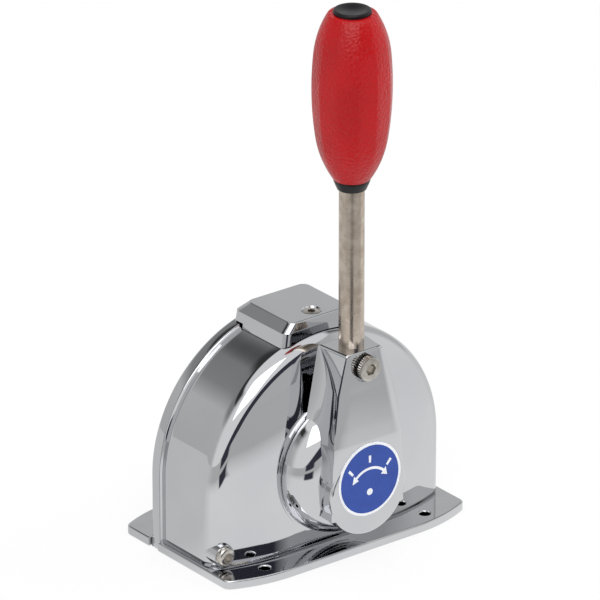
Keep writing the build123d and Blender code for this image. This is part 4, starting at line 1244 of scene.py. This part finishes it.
@dataclass(frozen=True)
class Lamp:
    """A square lamp that looks at the object, with its place and size in metres and its power in watts."""

    name: str
    place: tuple[float, float, float]
    size: float
    power: float
    mirrored: bool = False

    def build(self) -> None:
        """Hang the lamp, and let polished pieces mirror it only if it may be seen in them."""
        light = bpy.data.lights.new(self.name, "AREA")
        light.shape = "SQUARE"
        light.size = self.size
        light.energy = self.power
        lamp = bpy.data.objects.new(self.name, light)
        lamp.location = self.place
        lamp.visible_glossy = self.mirrored
        lamp.rotation_euler = (Vector((0, 0, 0.1)) - Vector(self.place)).to_track_quat("-Z", "Y").to_euler()
        bpy.context.scene.collection.objects.link(lamp)


@dataclass
class Studio:
    """Pale floor, soft lamps, a light tent for the gloss, and the camera, in metres.

    Floor and tent have one look for the camera and another in polished pieces. Tones there are
    0 for black and 1 for white, over distances, or over shares of a direction along an axis.
    """

    distance: float = 3.376
    azimuth: float = 37.885
    elevation: float = 24.031
    aim_height: float = 0.110
    yaw: float = 0.036
    tilt: float = 0.078
    lens: float = 431.69
    floor_half: float = 12.0
    paper_glow: float = 0.86
    paper_grains: float = 300.0
    # Painted shade under the plate: its footprint, the mask's soft edge, and a near-black colour that stands
    # in for the plate's shadow on the paper
    under_plate: tuple[float, float, float] = (0.0515, 0.0415, 0.0)
    under_edge: float = 0.001
    painted_shade_under_plate: str = "#161618"
    dark: Colour = (0.05, 0.05, 0.07, 1.0)
    floor_rear_tone: float = 0.78
    floor_rear: tuple[float, float] = (-0.3, 0.2)
    floor_right: tuple[float, float] = (0.65, 0.8)
    floor_right_tones: tuple[float, float] = (0.62, 0.95)
    floor_fall: tuple[float, float] = (0.19, 0.32)
    dark_wedge: Stops = ((0.30, 0.0), (0.34, 1.0), (0.64, 1.0), (0.72, 0.0))
    dark_rings: Stops = ((0.19, 0.0), (0.205, 1.0), (0.33, 1.0), (0.36, 0.0), (0.50, 0.0), (0.58, 1.0))
    rear_wall: Stops = (
        (0.0, 0.62), (0.42, 0.66), (0.56, 0.34), (0.67, 0.30), (0.70, 0.05), (0.79, 0.05), (0.83, 1.0)
    )
    wall_right: tuple[float, float] = (0.6, 0.8)
    wall_right_tones: tuple[float, float] = (0.64, 0.95)
    wall_slant: float = -0.6
    gap_foot: tuple[float, float] = (0.02, 0.05)
    gap_top: tuple[float, float] = (0.42, 0.46)
    gap_end: tuple[float, float] = (0.5, 0.38)
    front_to_rear: tuple[float, float] = (-0.15, 0.15)
    lamps: tuple[Lamp, ...] = (
        Lamp("key_lamp", (-0.9, -1.2, 1.9), 1.7, 18.0, True),
        Lamp("fill_lamp", (1.6, -0.7, 1.3), 0.9, 9.0),
        Lamp("top_lamp", (0.2, 0.5, 2.2), 1.2, 10.0),
    )

    def open_floor(self, tree: Tree, place: Any) -> Any:
        """1 on the open floor and 0 under the plate, where shade is painted, by how far |x| or |y| lies past
        the plate's sides.
        """
        past = vector(tree, "SUBTRACT", vector(tree, "ABSOLUTE", place), self.under_plate)
        sides = node(tree, "SeparateXYZ", {0: past}).outputs
        outside = maths(tree, "MAXIMUM", sides["X"], sides["Y"])
        return between(tree, outside, (0.0, self.under_edge))

    def floor_tone(self, tree: Tree, place: Any) -> Any:
        """Tone of the floor in polished pieces.

        It is even behind the object. In front it falls off with the distance, less to the right,
        and dark rings cross a wedge at the front left. Headings are x and y over the distance.

        Args:
            tree: the floor's node tree.
            place: socket of the place on the floor.

        Returns:
            The tone's colour socket.
        """
        along = node(tree, "SeparateXYZ", {0: place}).outputs
        span = node(tree, "VectorMath", {0: place}, operation="LENGTH").outputs["Value"]
        back = maths(tree, "DIVIDE", along["Y"], span)
        aside = maths(tree, "DIVIDE", along["X"], span)
        wedge = grey_ramp(tree, maths(tree, "ADD", aside, 1.0), self.dark_wedge)
        rings = grey_ramp(tree, span, self.dark_rings)
        shade = maths(tree, "MULTIPLY", rings, wedge)
        far = between(tree, aside, self.floor_right, self.floor_right_tones)
        fall = mixed(tree, between(tree, span, self.floor_fall), grey(1.0), far)
        front = mixed(tree, shade, fall, self.dark)
        return mixed(tree, between(tree, back, self.floor_rear), front, grey(self.floor_rear_tone))

    def paper(self) -> bpy.types.Material:
        """Pale paper: white with a faint shadow for the camera, toned for gloss, with shade painted under the
        plate: near black there for the camera and black in gloss.
        """
        made = bpy.data.materials.new("pale_studio_paper")
        made.use_nodes = True
        tree = made.node_tree
        tree.nodes.remove(tree.nodes["Principled BSDF"])
        rays = node(tree, "LightPath").outputs
        place = node(tree, "TexCoord").outputs["Object"]
        grain = node(tree, "TexNoise", {"Vector": place, "Scale": self.paper_grains}).outputs["Fac"]
        tint = ramp(tree, grain, ((0.3, linear("#ECECEC")), (0.7, linear("#F2F2F2"))))
        paper = node(tree, "BsdfDiffuse", {"Color": tint}).outputs[0]
        lit = node(tree, "Emission", {"Color": grey(1.0), "Strength": 1.0}).outputs[0]
        bright = node(tree, "MixShader", {0: self.paper_glow, 1: paper, 2: lit}).outputs[0]
        # Painted shade: near-black paper under the plate for the camera, in place of the plate's shadow
        under = node(tree, "BsdfDiffuse", {"Color": linear(self.painted_shade_under_plate)}).outputs[0]
        outside = self.open_floor(tree, place)
        seen = node(tree, "MixShader", {0: outside, 1: under, 2: bright}).outputs[0]
        tone = self.floor_tone(tree, place)
        # Painted shade in gloss: the paper's glow is switched off under the plate
        mirrored = node(tree, "Emission", {"Color": tone, "Strength": outside}).outputs[0]
        gloss = maths(tree, "MAXIMUM", rays["Is Glossy Ray"], rays["Is Transmission Ray"])
        first = node(tree, "MixShader", {0: rays["Is Camera Ray"], 1: paper, 2: seen}).outputs[0]
        both = node(tree, "MixShader", {0: gloss, 1: first, 2: mirrored}).outputs[0]
        tree.links.new(both, tree.nodes["Material Output"].inputs["Surface"])
        return made

    def floor(self) -> None:
        """Square floor under the object."""
        half = self.floor_half
        corners = [(-half, -half, 0.0), (half, -half, 0.0), (half, half, 0.0), (-half, half, 0.0)]
        mesh = bpy.data.meshes.new("studio_floor")
        mesh.from_pydata(corners, [], [(0, 1, 2, 3)])
        mesh.materials.append(self.paper())
        plane = bpy.data.objects.new("studio_floor", mesh)
        bpy.context.scene.collection.objects.link(plane)

    def front_wall(self, tree: Tree, along: Any) -> Any:
        """Tone of the tent in front, over the direction (x, y, z).

        The height is z - 0.6 x. A dark gap lies between two heights and ends to the right, with a
        grey wall below it that is brighter at the right, and white above.

        Args:
            tree: the tent's node tree.
            along: sockets of the direction's parts.

        Returns:
            The tone's colour socket.
        """
        height = maths(tree, "MULTIPLY_ADD", along["X"], self.wall_slant, along["Z"])
        low_tone = between(tree, along["X"], self.wall_right, self.wall_right_tones)
        foot = between(tree, height, self.gap_foot)
        gap = maths(tree, "MULTIPLY", foot, between(tree, along["X"], self.gap_end))
        wall = mixed(tree, gap, low_tone, self.dark)
        return mixed(tree, between(tree, height, self.gap_top), wall, grey(1.0))

    def world(self) -> None:
        """White for the camera, and for gloss a tent: walls in front and behind, and light above."""
        world = bpy.data.worlds.new("light_tent")
        bpy.context.scene.world = world
        world.use_nodes = True
        tree = world.node_tree
        direction = node(tree, "TexCoord").outputs["Generated"]
        along = node(tree, "SeparateXYZ", {0: direction}).outputs
        rear = grey_ramp(tree, along["Z"], self.rear_wall)
        behind = between(tree, along["Y"], self.front_to_rear)
        tent = mixed(tree, behind, self.front_wall(tree, along), rear)
        seen = node(tree, "LightPath").outputs["Is Camera Ray"]
        colour = mixed(tree, seen, tent, grey(1.0))
        tree.links.new(colour, tree.nodes["Background"].inputs["Color"])

    def camera(self) -> None:
        """Camera at the photograph's angle."""
        across, rise = radians(self.azimuth), radians(self.elevation)
        place = Vector((-sin(across) * cos(rise), -cos(across) * cos(rise), sin(rise))) * self.distance
        place.z += self.aim_height
        across += radians(self.yaw)
        rise -= radians(self.tilt)
        look = Vector((sin(across) * cos(rise), cos(across) * cos(rise), -sin(rise)))
        data = bpy.data.cameras.new("studio_camera")
        data.lens = self.lens
        data.sensor_width = 36.0
        data.clip_end = 100.0
        camera = bpy.data.objects.new("studio_camera", data)
        camera.location = place
        camera.rotation_euler = look.to_track_quat("-Z", "Y").to_euler()
        bpy.context.scene.collection.objects.link(camera)
        bpy.context.scene.camera = camera

    def build(self) -> None:
        """Set up floor, tent, lamps, camera and view."""
        self.floor()
        self.world()
        for lamp in self.lamps:
            lamp.build()
        self.camera()
        bpy.context.scene.view_settings.view_transform = "Standard"


def main() -> None:
    """Build the studio and every sub-assembly in order."""
    logging.basicConfig(level=logging.INFO, format="%(name)s %(message)s")
    for assembly in (Studio(), Mechanism(), Castings(), LeverCasting(), RodAndGrip(), Label(), Screws()):
        LOG.info("building %s", type(assembly).__name__)
        assembly.build()


if __name__ == "__main__":
    main()
